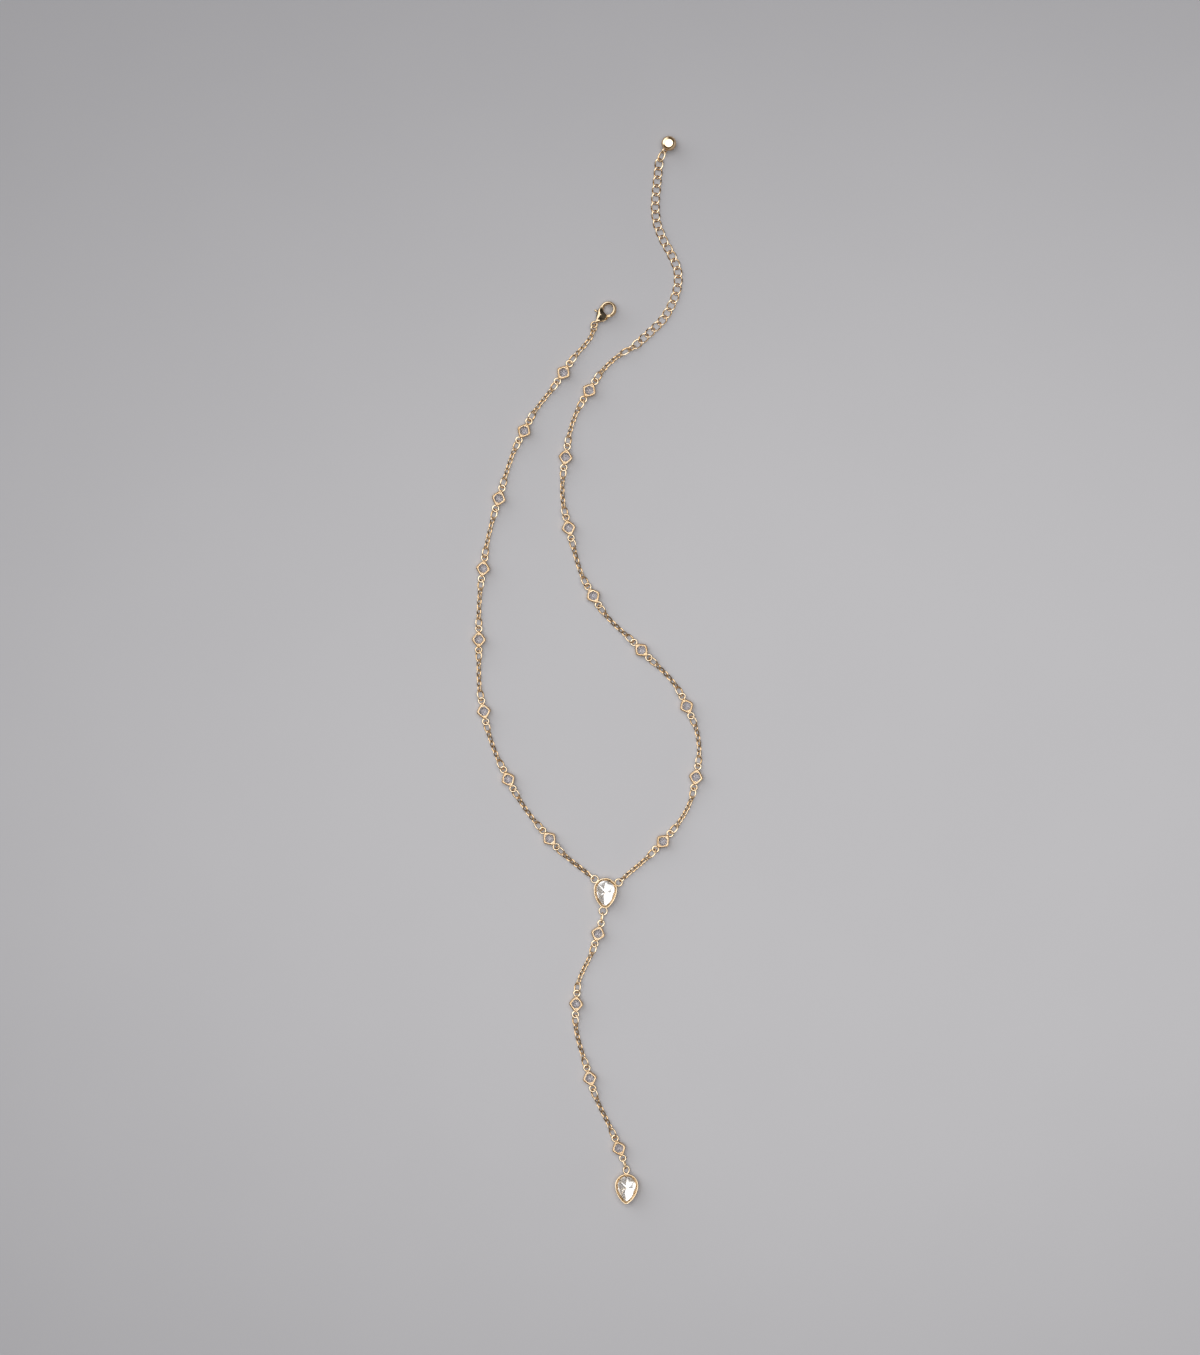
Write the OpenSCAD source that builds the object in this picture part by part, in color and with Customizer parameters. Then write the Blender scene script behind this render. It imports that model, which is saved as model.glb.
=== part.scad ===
// Y necklace laid open on a flat surface, with fine cable chain, small open-set stones and two pears
// Z = 0 is the surface, +Y runs from the pendant towards the clasp, and the stones face +Z

/* [Fine chain] */
// Wire of a fine link
fine_wire = 0.40; // [0.38:0.01:0.41]
// Length of a fine link
fine_long = 2.76; // [2.74:0.01:2.8]
// Width of a fine link
fine_wide = 1.95; // [1.9:0.01:2.05]
// Longest step from one fine link to the next
fine_step = 1.775; // [1.72:0.005:1.78]
// Roll of the fine links, to one side and then to the other
link_roll = 45; // [44:1:48]

/* [End rings] */
// Wire of the oval rings, the jump rings and the longer links
ring_wire = 0.5; // [0.46:0.01:0.5]
// Length of an oval end ring
ring_long = 4.0; // [3.9:0.05:4.1]
// Width of an oval end ring
ring_wide = 3.2; // [3.1:0.05:3.3]
// Roll of the rings
ring_roll = 48; // [46:1:48]
// How far a ring's wire lies past the point where it meets its neighbour
hook = 0.4; // [0.36:0.01:0.42]

/* [Extender] */
// Number of curb links
curb_count = 24; // [24:1:24]
// Length of a curb link
curb_long = 4.1; // [4.05:0.01:4.2]
// Width of a curb link
curb_wide = 3.0; // [2.9:0.05:3.1]
// Twist of a curb link, up and down from its middle plane
curb_twist = 0.38; // [0.36:0.01:0.4]
// Slope of the two end links, which a ring holds up
curb_slope = 7; // [6:1:8]

/* [Small settings] */
// Width of a small setting across the strand
setting_wide = 4.7; // [4.6:0.05:4.8]
// Length of a small setting along the strand, without its loops
setting_long = 5.4; // [5.3:0.05:5.5]
// Height of the rim
setting_high = 2.4; // [2.3:0.05:2.5]
// Thickness of the rim
setting_wall = 0.5; // [0.45:0.01:0.55]
// Radius of a small stone at its girdle
stone_r = 1.6; // [1.5:0.02:1.62]

/* [Pears] */
// Width of a pear setting
pear_wide = 7.7; // [7.5:0.1:7.9]
// Length of a pear setting
pear_long = 9.95; // [9.8:0.05:10.2]
// Height of a pear rim
pear_high = 3.0; // [2.8:0.1:3.2]
// Thickness of a pear rim
pear_wall = 0.95; // [0.85:0.05:1.0]
// Radius of the centre pear's tip
centre_tip_r = 1.9; // [1.8:0.1:2.0]
// Radius of the pendant's tip
pendant_tip_r = 1.2; // [1.1:0.1:1.3]

/* [Clasp] */
// Radius of the clasp's eye
eye_r = 1.7; // [1.6:0.05:1.75]
// Width of the hook's band round the eye
claw_wide = 1.05; // [1.0:0.05:1.1]
// Thickness of the clasp
claw_high = 2.0; // [1.9:0.05:2.1]
// Lean of the clasp about its length
clasp_lean = 18; // [14:1:20]
// Slope of the clasp down to its base ring
clasp_dip = 3; // [2:1:4]
// Gap on each side of the lever, and round its pin
lever_gap = 0.05; // [0.04:0.01:0.07]

/* [End ball] */
// Radius of the polished ball
ball_r = 2.45; // [2.4:0.05:2.5]

/* [Hidden] */
$fn = 32;
GOLD = [0.86, 0.70, 0.42];
CLEAR = [0.86, 0.90, 0.94];
LEFT_NAMES = [for (i = [1:8]) str("l", i)];
RIGHT_NAMES = [for (i = [1:8]) str("r", i)];
DROP_NAMES = [for (i = [1:4]) str("d", i)];
STATION_NAMES = concat(LEFT_NAMES, RIGHT_NAMES, DROP_NAMES);
NODES = concat(
    [for (n = STATION_NAMES) str("setting_", n)],
    [for (n = STATION_NAMES) str("stone_", n)],
    ["centre_setting", "centre_stone", "pendant_setting", "pendant_stone"],
    ["left_chain", "right_chain", "drop_chain", "extender_chain"],
    ["clasp_body", "clasp_lever", "clasp_ring", "charm_ring", "end_ball"]
);
node = "all";

// Kinds of link: length, width, wire, roll
FINE = [fine_long, fine_wide, fine_wire, link_roll];
EAR_LINK = [fine_long, fine_wide, fine_wire, 62];
RING = [ring_long, ring_wide, ring_wire, ring_roll];
JUMP = [2.9, 2.9, ring_wire, 44];
BIG = [4.4, 3.2, ring_wire, ring_roll];
SMALL = [3.0, 2.2, 0.45, link_roll];
EDGE = [3.75, 2.3, ring_wire, 78];
CHARM = [4.2, 2.9, ring_wire, 38];

// Fixed loops
loop_r = 1.0;
loop_wire = 0.48;
loop_at = 3.5;
loop_z = 1.26;
loop_reach = loop_at + loop_r - hook;
ear_r = 1.16;
ear_out = 4.95;
tip_loop_r = 1.3;
bail_r = 1.25;
ear_hook = 0.34;
tip_loop_side = -0.5;
tip_loop_out = 1.0;
bail_side = -0.28;
bail_out = 1.2;
jump_lift = 0.05;

// Easing of a rim's top edges, as shares of its thickness
ease_share = 0.45;
small_ease_share = 0.13;

// Small settings: radii of the rim's corners and long arcs, and heights of the seat
corner_side_r = 1.3;
corner_end_r = 1.0;
corner_long_r = 4.0;
seat_r = 1.95;
seat_low = 0.1;
seat_high = 2.0;
lip_r = stone_r - 0.08;
bore_r = stone_r - 0.18;
groove_r = stone_r + 0.1;
groove_low = 1.1;
groove_high = 1.68;
girdle_z = 1.36;
girdle_high = 0.1;
culet_r = 0.1;
culet_z = 0.32;
table_share = 0.58;
crown_high = 0.5;
stone_sides = 16;
web_wide = 1.3;
web_high = 0.75;
web_sink = 0.15;

// Pears: the top arc is centred on each pear's origin, and the tip points to -Y
pear_r = pear_wide / 2;
pear_low = pear_long - pear_r;
pear_side_r = 8.0;
pear_floor = 0.6;
pear_ledge_z = 1.6;
pear_ledge = 0.35;
pear_ledge_tip_r = 0.5;
pear_ledge_tip_share = 1.05;
pear_base_inset = 0.5;
pear_girdle_z = 2.0;
pear_gap = 0.12;
pear_stone_mid = [0, -0.9];
centre_at = [5.95, -72.4];
centre_turn = -2;
pendant_at = [12.95, -169.9];
pendant_turn = -2;

// Clasp: its eye's centre, the turn of its length off +Y, and the places of its parts from the eye
clasp_at = [6.9, 118.8, 1.9];
clasp_turn = -39.6;
claw_mid = eye_r + claw_wide / 2;
hook_end_angle = 225;
pivot = [-0.7, -2.9];
pin_r = 0.35;
hub_r = 0.9;
latch_r = 3.4;
latch_from = -34;
latch_side = 0.6;
latch_top = 0.2;
claw_cut = 0.24;
eye_clear = 0.02;
slot_high = 1.0;
lever_high = slot_high - 2 * lever_gap - 0.04;
lever_arm_wide = 0.9;
lever_arm_from = -64;
lever_neck_turn = 24;
lever_neck_long = 2.05;
tab_at = -2.5;
tab_r = 0.38;
tab_side = 0.05;
tab_low = -0.15;
tab_wide = 0.5;
base_ring_at = [-0.55, -6.75];
base_ring_r = 1.0;
base_ring_wire = 0.56;
base_ring_hook = 0.6;

// The clasp's outlines seen from above: x and y from the eye's centre
CHEEKS = [
    [-2.65, -0.6],
    [-2.65, -2.4],
    [-2.15, -3.4],
    [-1.15, -4.6],
    [-0.95, -5.9],
    [-0.1, -5.9],
    [0.95, -4.3],
    [1.7, -2.8],
    [1.1, -1.6]
];
SLOT = [
    [-4.2, -2.4],
    [-1.75, -2.4],
    [-1.15, -1.1],
    [3.2, -1.1],
    [3.2, -4.0],
    [0.3, -4.0],
    [-1.2, -4.15],
    [-4.2, -5.3]
];

// Where the base ring's middle lies once the clasp leans and dips
base_ring_drop = base_ring_at.y * sin(clasp_dip);
base_ring_side = base_ring_at.x * cos(clasp_lean) - base_ring_drop * sin(clasp_lean);
base_ring_spot = flat(clasp_at) + turned([base_ring_side, base_ring_at.y * cos(clasp_dip)], clasp_turn);
base_ring_z = clasp_at.z + base_ring_at.x * sin(clasp_lean) + base_ring_drop * cos(clasp_lean);

// End ball and its loop
ball_at = [26.85, 173.5];
ball_loop_r = 0.82;
ball_loop_wire = 0.45;
ball_loop_out = ball_r + 0.55;
ball_loop_turn = -122;
ball_loop_dip = 18;
ball_loop_roll = -45;
charm_side = -0.35;
charm_drop = 0.15;
charm_hook = 0.37;

// Line of the extender from its first curb link at the ball to its last one: x, y, turn
EXTENDER = [
    [ 23.6,  166.8,   0],
    [ 22.8,  158.7,   0],
    [ 22.4,  152.9,   0],
    [ 23.0,  147.3,   0],
    [ 25.0,  142.0,   0],
    [ 27.7,  137.0,   0],
    [ 29.8,  131.6,   0],
    [ 29.6,  125.7,   0],
    [ 27.7,  120.3,   0],
    [ 24.8,  115.5,   0],
    [ 20.8,  111.5,   0],
    [ 16.4,  107.5,   0]
];

// The extender's end links: how far the outer end is lifted, and where the right strand takes hold
curb_a = (curb_long - ring_wire) / 2;
curb_z = curb_twist + ring_wire / 2;
curb_lift = 2 * curb_a * sin(curb_slope);
curb_hold = 0.9;
curb_end_z = curb_z + curb_lift * curb_hold;
last_curb = len(EXTENDER) - 1;
last_curb_joint = flat(EXTENDER[last_curb]) + heading(EXTENDER, last_curb) * (curb_a - hook);

// Where the small settings lie along each strand, from the top down, in mm: x, y, turn
// The first and the last row are where the strand is joined on, and turn is in degrees off the smooth line
LEFT = concat([concat(base_ring_spot, 30)], [
    [ -7.9,   98.1,   0],
    [-20.9,   78.9,   0],
    [-29.2,   56.6,   0],
    [-34.4,   33.5,   0],
    [-35.8,   10.1,   0],
    [-34.2,  -13.6,   0],
    [-26.1,  -36.0,   0],
    [-12.5,  -55.6,   0],
    [  2.3,  -69.1,   0]
]);
RIGHT = concat([concat(last_curb_joint, -20)], [
    [  0.6,   92.2,   0],
    [ -7.2,   70.2,   0],
    [ -6.2,   46.9,   3],
    [  1.9,   24.5,   0],
    [ 17.8,    6.6,   5],
    [ 32.7,  -11.9,   2],
    [ 35.8,  -35.3,   0],
    [ 24.9,  -56.5,  -6],
    [ 10.4,  -70.0,   0]
]);
DROP = [
    [  5.2,  -79.5,   0],
    [  3.5,  -86.9,   0],
    [ -3.7, -110.1,   0],
    [  0.8, -134.6,   0],
    [ 10.4, -157.7,   0],
    [ 12.85, -164.85,  0]
];

// Vectors along the strands
function unit(v) = v / norm(v);
function flat(row) = [row.x, row.y];
function turned(v, a) = [v.x * cos(a) - v.y * sin(a), v.x * sin(a) + v.y * cos(a)];
function before(t, i) = flat(t[max(i - 1, 0)]);
function after(t, i) = flat(t[min(i + 1, len(t) - 1)]);
function heading(t, i) = turned(unit(after(t, i) - before(t, i)), t[i].z);
function angle(v) = atan2(v.y, v.x);

// A smooth line from a to b that leaves along u and arrives along v
steps = 24;
function blend(a, u, b, v, t) =
    let (d = norm(b - a))
    a * (2 * pow(t, 3) - 3 * pow(t, 2) + 1) + b * (3 * pow(t, 2) - 2 * pow(t, 3))
    + u * d * (pow(t, 3) - 2 * pow(t, 2) + t) + v * d * (pow(t, 3) - pow(t, 2));
function curve(a, u, b, v) = [for (k = [0:steps]) blend(a, u, b, v, k / steps)];
function lengths(p) = [
    for (k = 0, s = 0; k < len(p); s = s + (k + 1 < len(p) ? norm(p[k + 1] - p[k]) : 0), k = k + 1) s
];
function last_below(lens, s) = min(len([for (q = lens) if (q <= s) 1]), len(lens) - 1) - 1;
function at_length(p, lens, s) =
    let (k = last_below(lens, s))
    p[k] + (p[k + 1] - p[k]) * (s - lens[k]) / (lens[k + 1] - lens[k]);

// Links: half the wire's length, the step a link takes up, and the height of its middle when it rests
function half_wire(kind) = (kind[0] - kind[2]) / 2;
function step_of(kind) = 2 * (half_wire(kind) - hook);
function rest_z(kind) = (kind[1] - kind[2]) / 2 * sin(kind[3]) + kind[2] / 2;
function sum(v, i = 0) = i < len(v) ? v[i] + sum(v, i + 1) : 0;
function sums(v) = [for (k = 0, s = 0; k <= len(v); s = s + (k < len(v) ? v[k] : 0), k = k + 1) s];

// A run of links: the kinds in head, as many fine links as the room takes, and the kinds in tail
// Each row is where the link starts, where it ends, its kind and the side it rolls to
function run(a, u, b, v, head, tail, za, zb, side = 1) =
    let (
        p = curve(a, u, b, v),
        lens = lengths(p),
        head_steps = [for (k = head) step_of(k)],
        tail_steps = [for (k = tail) step_of(k)],
        room = lens[steps] - sum(head_steps) - sum(tail_steps),
        n = ceil(room / fine_step),
        kinds = concat(head, [for (i = [1:n]) FINE], tail),
        s = sums(concat(head_steps, [for (i = [1:n]) room / n], tail_steps)),
        last = len(kinds),
        z = concat([za], [for (j = [1:last - 1]) max(rest_z(kinds[j - 1]), rest_z(kinds[j]))], [zb]),
        joints = [for (j = [0:last]) let (q = at_length(p, lens, s[j])) [q.x, q.y, z[j]]]
    )
    [for (j = [0:last - 1]) [joints[j], joints[j + 1], kinds[j], j % 2 == 0 ? side : -side]];

// The run from row i of a strand to the next row, between two small settings
function between(t, i) =
    run(flat(t[i]) + heading(t, i) * loop_reach, heading(t, i),
        flat(t[i + 1]) - heading(t, i + 1) * loop_reach, heading(t, i + 1),
        [RING], [RING], loop_z, loop_z);
// The run from the last small setting of a strand into a pear's ear
function into_ear(t) =
    let (i = len(t) - 2)
    run(flat(t[i]) + heading(t, i) * loop_reach, heading(t, i),
        flat(t[i + 1]) - heading(t, i + 1) * (ear_r - ear_hook), heading(t, i + 1),
        [RING], [EAR_LINK], loop_z, loop_z);
// The run from the top of a strand to its first small setting
function from_top(t, reach, head, z, side) =
    run(flat(t[0]) + heading(t, 0) * reach, heading(t, 0),
        flat(t[1]) - heading(t, 1) * loop_reach, heading(t, 1),
        head, [RING], z, loop_z, side);

clasp_run = from_top(LEFT, base_ring_r - base_ring_hook, [JUMP], base_ring_z + jump_lift, -1);
left_rows = concat(
    [for (j = [1:len(clasp_run) - 1]) clasp_run[j]],
    [for (i = [1:7]) each between(LEFT, i)],
    into_ear(LEFT)
);
right_rows = concat(
    from_top(RIGHT, 0, [SMALL, BIG], curb_end_z, -1),
    [for (i = [1:7]) each between(RIGHT, i)],
    into_ear(RIGHT)
);
function loop_side(t, i, s) = concat(flat(t[i]) + heading(t, i) * s * loop_reach, loop_z);
function loop_towards(t, i, j, r) = concat(flat(t[i]) + unit(flat(t[j]) - flat(t[i])) * (r - hook), loop_z);
drop_rows = concat(
    [[loop_towards(DROP, 0, 1, tip_loop_r), loop_side(DROP, 1, -1), EDGE, 1]],
    [for (i = [1:3]) each between(DROP, i)],
    [[loop_side(DROP, 4, 1), loop_towards(DROP, 5, 4, bail_r), EDGE, -1]]
);

// A racetrack link in the XY plane, along X
module link(kind) {
    r = (kind[1] - kind[2]) / 2;
    straight = half_wire(kind) - r;
    for (s = [-1, 1]) {
        translate([s * straight, 0, 0])
            rotate([0, 0, -90 * s])
                rotate_extrude(angle = 180)
                    translate([r, 0])
                        circle(d = kind[2]);
        if (straight > 0)
            translate([-straight, s * r, 0])
                rotate([0, 90, 0])
                    cylinder(d = kind[2], h = 2 * straight);
    }
}

module placed_link(row) {
    d = row[1] - row[0];
    translate((row[0] + row[1]) / 2)
        rotate([0, -asin(d.z / norm(d)), angle(d)])
            rotate([row[2][3] * row[3], 0, 0])
                link(row[2]);
}

module chain(rows) {
    color(GOLD)
        for (row = rows)
            placed_link(row);
}

module torus(r, wire) {
    rotate_extrude()
        translate([r, 0])
            circle(d = wire);
}

// Curb link: an oval of wire twisted so that it lies flat between its neighbours
curb_points = 14;
curb_sides = 6;
curb_look = 0.3;
line_end = 0.001;
curb_b = (curb_wide - ring_wire) / 2;
function curb_mid(t) = [curb_a * cos(t), curb_b * sin(t), curb_twist * sin(2 * t)];
function curb_way(t) = unit([-curb_a * sin(t), curb_b * cos(t), 2 * curb_twist * cos(2 * t)]);
function curb_ring(t) =
    let (w = curb_way(t), side = unit(cross([0, 0, 1], w)), up = cross(w, side))
    [for (k = [0:curb_sides - 1])
        let (a = 360 * k / curb_sides)
        curb_mid(t) + (side * cos(a) + up * sin(a)) * ring_wire / 2];

module curb_link() {
    n = curb_sides;
    m = curb_points;
    points = [for (i = [0:m - 1]) each curb_ring(360 * i / m)];
    faces = [for (i = [0:m - 1], k = [0:n - 1])
        let (a = i * n + k, b = (i + 1) % m * n + k, c = (i + 1) % m * n + (k + 1) % n, d = i * n + (k + 1) % n)
        each [[a, b, c], [a, c, d]]];
    polyhedron(points, faces, convexity = 4);
}

module extender_chain() {
    rows = len(EXTENDER);
    pieces = [for (i = [0:rows - 2])
        each curve(flat(EXTENDER[i]), heading(EXTENDER, i), flat(EXTENDER[i + 1]), heading(EXTENDER, i + 1))];
    line = [for (k = [0:len(pieces) - 1]) if (k % (steps + 1) < steps || k == len(pieces) - 1) pieces[k]];
    lens = lengths(line);
    total = lens[len(lens) - 1] - line_end;
    curb_step = total / (curb_count - 1);
    color(GOLD)
        for (i = [0:curb_count - 1]) {
            p = at_length(line, lens, i * curb_step);
            a = at_length(line, lens, max(i - curb_look, 0) * curb_step);
            b = at_length(line, lens, min(i + curb_look, curb_count - 1) * curb_step);
            end = i == 0 ? 1 : i == curb_count - 1 ? -1 : 0;
            translate([p.x, p.y, curb_z + abs(end) * curb_lift / 2])
                rotate([0, curb_slope * end, angle(b - a)])
                    curb_link();
        }
}

// Outlines of arcs: each row is an arc's centre x and y, its radius and the angles it runs between
function meet(p, rp, q, rq) =
    let (
        d = norm(q - p),
        a = (pow(rp, 2) - pow(rq, 2) + pow(d, 2)) / (2 * d),
        h = sqrt(pow(rp, 2) - pow(a, 2)),
        u = (q - p) / d
    )
    p + a * u + h * [-u.y, u.x];

// A lozenge with rounded corners, symmetric about X and Y
function lozenge(half_x, half_y, side_r, end_r, long_r) =
    let (
        p = [half_x - side_r, 0],
        q = [0, half_y - end_r],
        c = meet(p, long_r - side_r, q, long_r - end_r),
        t1 = angle(p - c),
        t2 = angle(q - c)
    )
    [
        [p.x, 0, side_r, -t1, t1],
        [c.x, c.y, long_r, t1, t2],
        [0, q.y, end_r, t2, 180 - t2],
        [-c.x, c.y, long_r, 180 - t2, 180 - t1],
        [-p.x, 0, side_r, 180 - t1, 180 + t1],
        [-c.x, -c.y, long_r, 180 + t1, 180 + t2],
        [0, -q.y, end_r, 180 + t2, 360 - t2],
        [c.x, -c.y, long_r, 360 - t2, 360 - t1]
    ];

// A pear with its round end about the origin and its tip at -low
function pear(top_r, low, tip_r, side_r) =
    let (
        tip = [0, tip_r - low],
        c = meet(tip, side_r - tip_r, [0, 0], side_r - top_r),
        t1 = angle(tip - c),
        t2 = angle(-c)
    )
    [
        [0, 0, top_r, t2, 180 - t2],
        [-c.x, c.y, side_r, 180 - t2, 180 - t1],
        [0, tip.y, tip_r, 180 - t1, 360 + t1],
        [c.x, c.y, side_r, t1, t2]
    ];

// Points on an outline, moved in by inset, with n steps along each arc
function outline(arcs, inset, n) = [
    for (arc = arcs, k = [0:n - 1])
        let (a = arc[3] + (arc[4] - arc[3]) * k / n)
        [arc[0] + (arc[2] - inset) * cos(a), arc[1] + (arc[2] - inset) * sin(a)]
];

// Section of a rim, with its top edges eased
module wall_section(thick, high) {
    ease = thick * ease_share;
    small = thick * small_ease_share;
    polygon([
        [0, 0],
        [thick, 0],
        [thick, high - ease],
        [thick - small, high - small],
        [thick - ease, high],
        [ease, high],
        [small, high - small],
        [0, high - ease]
    ]);
}

// A wall swept along an outline
module wall(arcs, thick, high) {
    for (arc = arcs)
        translate([arc[0], arc[1], 0])
            rotate([0, 0, arc[3]])
                rotate_extrude(angle = arc[4] - arc[3])
                    translate([arc[2] - thick, 0])
                        wall_section(thick, high);
}

module small_setting() {
    arcs = lozenge(setting_wide / 2, setting_long / 2, corner_side_r, corner_end_r, corner_long_r);
    web_long = setting_long - 2 * (setting_wall - web_sink);
    color(GOLD) {
        difference() {
            union() {
                wall(arcs, setting_wall, setting_high);
                translate([0, 0, seat_low])
                    cylinder(r = seat_r, h = seat_high - seat_low);
                translate([-web_wide / 2, -web_long / 2, seat_low / 2])
                    cube([web_wide, web_long, web_high]);
            }
            cylinder(r = bore_r, h = setting_high);
            translate([0, 0, groove_low])
                cylinder(r = groove_r, h = groove_high - groove_low);
            translate([0, 0, groove_low])
                cylinder(r = lip_r, h = setting_high);
        }
        for (s = [-1, 1])
            translate([0, s * loop_at, loop_z])
                torus(loop_r, loop_wire);
    }
}

// A solid through a list of rings of points, each ring with as many points, from the bottom up
module ringed(rings) {
    n = len(rings[0]);
    m = len(rings);
    sides = [for (i = [0:m - 2], k = [0:n - 1])
        [i * n + k, (i + 1) * n + k, (i + 1) * n + (k + 1) % n, i * n + (k + 1) % n]];
    bottom = [for (k = [0:n - 1]) k];
    top = [for (k = [n - 1:-1:0]) (m - 1) * n + k];
    polyhedron([for (r = rings) each r], concat([bottom, top], sides), convexity = 2);
}

function ring_at(r, z, n) = [for (k = [0:n - 1]) [r * cos(360 * k / n), r * sin(360 * k / n), z]];

// A small stone from the bottom up: radius, height
SMALL_CUT = [
    [culet_r, culet_z],
    [stone_r, girdle_z],
    [stone_r, girdle_z + girdle_high],
    [stone_r * table_share, girdle_z + girdle_high + crown_high]
];
module small_stone() {
    color(CLEAR)
        ringed([for (row = SMALL_CUT) ring_at(row[0], row[1], stone_sides)]);
}

module at_row(t, i) {
    translate([t[i].x, t[i].y, 0])
        rotate([0, 0, angle(heading(t, i)) + 90])
            children();
}

module pear_setting(tip_r, loops) {
    arcs = pear(pear_r, pear_low, tip_r, pear_side_r);
    color(GOLD) {
        wall(arcs, pear_wall, pear_high);
        difference() {
            linear_extrude(pear_ledge_z)
                polygon(outline(arcs, pear_base_inset, arc_steps));
            translate([0, 0, pear_floor])
                linear_extrude(pear_high)
                    polygon(outline(pear_inner(pear_wall + pear_ledge), 0, arc_steps));
        }
        for (row = loops)
            translate([row.x, row.y, loop_z])
                torus(row.z, ring_wire);
    }
}

// A smaller pear inside the rim, with its own tip
arc_steps = 9;
function pear_inner(inset) =
    pear(pear_r - inset, pear_low - inset * pear_ledge_tip_share, pear_ledge_tip_r, pear_side_r - inset);

// A pear stone from the bottom up: share of its girdle's outline, height
PEAR_CUT = [
    [0.06, pear_floor + 0.2],
    [0.55, pear_floor + 0.62],
    [0.82, pear_girdle_z - 0.42],
    [1, pear_girdle_z],
    [1, pear_girdle_z + 0.16],
    [0.86, pear_girdle_z + 0.72],
    [0.6, pear_girdle_z + 1.15]
];
pear_stone_steps = 6;
module pear_stone(tip_r) {
    edge = outline(pear(pear_r, pear_low, tip_r, pear_side_r), pear_wall + pear_gap, pear_stone_steps);
    color(CLEAR)
        ringed([for (row = PEAR_CUT) lifted(edge, pear_stone_mid, row[0], row[1])]);
}

function lifted(edge, c, scale, z) = [for (p = edge) [c.x + (p.x - c.x) * scale, c.y + (p.y - c.y) * scale, z]];

module at_pear(place, turn) {
    translate([place.x, place.y, 0])
        rotate([0, 0, turn])
            children();
}

// Rows of a pear's loops: x, y, radius, in the pear's own directions
right_ear_angle = 30;
left_ear_angle = 138;
function ear(a) = [ear_out * cos(a), ear_out * sin(a), ear_r];
CENTRE_LOOPS = [
    ear(right_ear_angle),
    ear(left_ear_angle),
    [tip_loop_side, -pear_low - tip_loop_out, tip_loop_r]
];
PENDANT_LOOPS = [[bail_side, pear_r + bail_out, bail_r]];

module at_clasp() {
    translate(clasp_at)
        rotate([0, 0, clasp_turn])
            rotate([0, -clasp_lean, 0])
                rotate([clasp_dip, 0, 0])
                    children();
}

// Section of the hook, with its edges cut off
module claw_section() {
    x = claw_wide / 2;
    y = claw_high / 2;
    polygon([
        [-x + claw_cut, -y],
        [x - claw_cut, -y],
        [x, -y + claw_cut],
        [x, y - claw_cut],
        [x - claw_cut, y],
        [-x + claw_cut, y],
        [-x, y - claw_cut],
        [-x, -y + claw_cut]
    ]);
}

// The hook's band round the eye, its end cut on an arc about the pin
module claw() {
    difference() {
        rotate([0, 0, latch_from])
            rotate_extrude(angle = hook_end_angle - latch_from)
                translate([claw_mid, 0])
                    claw_section();
        intersection() {
            at_pivot(-claw_high)
                cylinder(r = latch_r, h = 2 * claw_high);
            translate([latch_side, latch_top - latch_r, -claw_high])
                cube([latch_r, latch_r, 2 * claw_high]);
        }
    }
}

module at_pivot(z) {
    translate([pivot.x, pivot.y, z])
        children();
}

module clasp_body() {
    color(GOLD)
        at_clasp() {
            difference() {
                union() {
                    claw();
                    difference() {
                        translate([0, 0, -claw_high / 2])
                            linear_extrude(claw_high)
                                polygon(CHEEKS);
                        translate([0, 0, -claw_high])
                            cylinder(r = eye_r + eye_clear, h = 2 * claw_high);
                    }
                }
                translate([0, 0, -slot_high / 2])
                    linear_extrude(slot_high)
                        polygon(SLOT);
            }
            at_pivot(-slot_high)
                cylinder(r = pin_r, h = 2 * slot_high);
            translate([base_ring_at.x, base_ring_at.y, 0])
                torus(base_ring_r, base_ring_wire);
        }
}

// The lever: its arm ends on an arc about the pin, so that it swings in past the hook's end
module clasp_lever() {
    color(GOLD)
        at_clasp()
            difference() {
                translate([0, 0, -lever_high / 2]) {
                    at_pivot(0)
                        cylinder(r = hub_r, h = lever_high);
                    intersection() {
                        rotate([0, 0, lever_arm_from])
                            rotate_extrude(angle = -lever_arm_from)
                                translate([eye_r + lever_gap, 0])
                                    square([lever_arm_wide, lever_high]);
                        at_pivot(0)
                            cylinder(r = latch_r - 1.5 * lever_gap, h = lever_high);
                    }
                    at_pivot(0)
                        rotate([0, 0, lever_neck_turn])
                            translate([0, -lever_arm_wide / 2, 0])
                                cube([lever_neck_long, lever_arm_wide, lever_high]);
                    at_pivot(0)
                        translate([tab_at, tab_low, 0])
                            cube([-tab_at, tab_wide, lever_high]);
                    at_pivot(0)
                        translate([tab_at, tab_side, 0])
                            cylinder(r = tab_r, h = lever_high);
                }
                at_pivot(-claw_high)
                    cylinder(r = pin_r + lever_gap, h = 2 * claw_high);
            }
}

module clasp_ring() {
    chain([clasp_run[0]]);
}

module end_ball() {
    color(GOLD)
        translate([ball_at.x, ball_at.y, ball_r]) {
            sphere(r = ball_r);
            rotate([0, ball_loop_dip, ball_loop_turn])
                translate([ball_loop_out, 0, 0])
                    rotate([ball_loop_roll, 0, 0])
                        torus(ball_loop_r, ball_loop_wire);
        }
}

// The oval jump ring from the ball's loop to the first curb link
function ball_at_loop(d) = [
    ball_at.x + d * cos(ball_loop_dip) * cos(ball_loop_turn),
    ball_at.y + d * cos(ball_loop_dip) * sin(ball_loop_turn),
    ball_r - d * sin(ball_loop_dip)
];
first_curb = [EXTENDER[0].x + charm_side, EXTENDER[0].y, curb_end_z - charm_drop];
ball_loop_joint = ball_at_loop(ball_loop_out + ball_loop_r - charm_hook);
charm_way = unit(first_curb - ball_loop_joint);
module charm_ring() {
    chain([[ball_loop_joint, first_curb - charm_way * (curb_a - hook), CHARM, 1]]);
}

function shown(name) = node == "all" || node == name;

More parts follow.
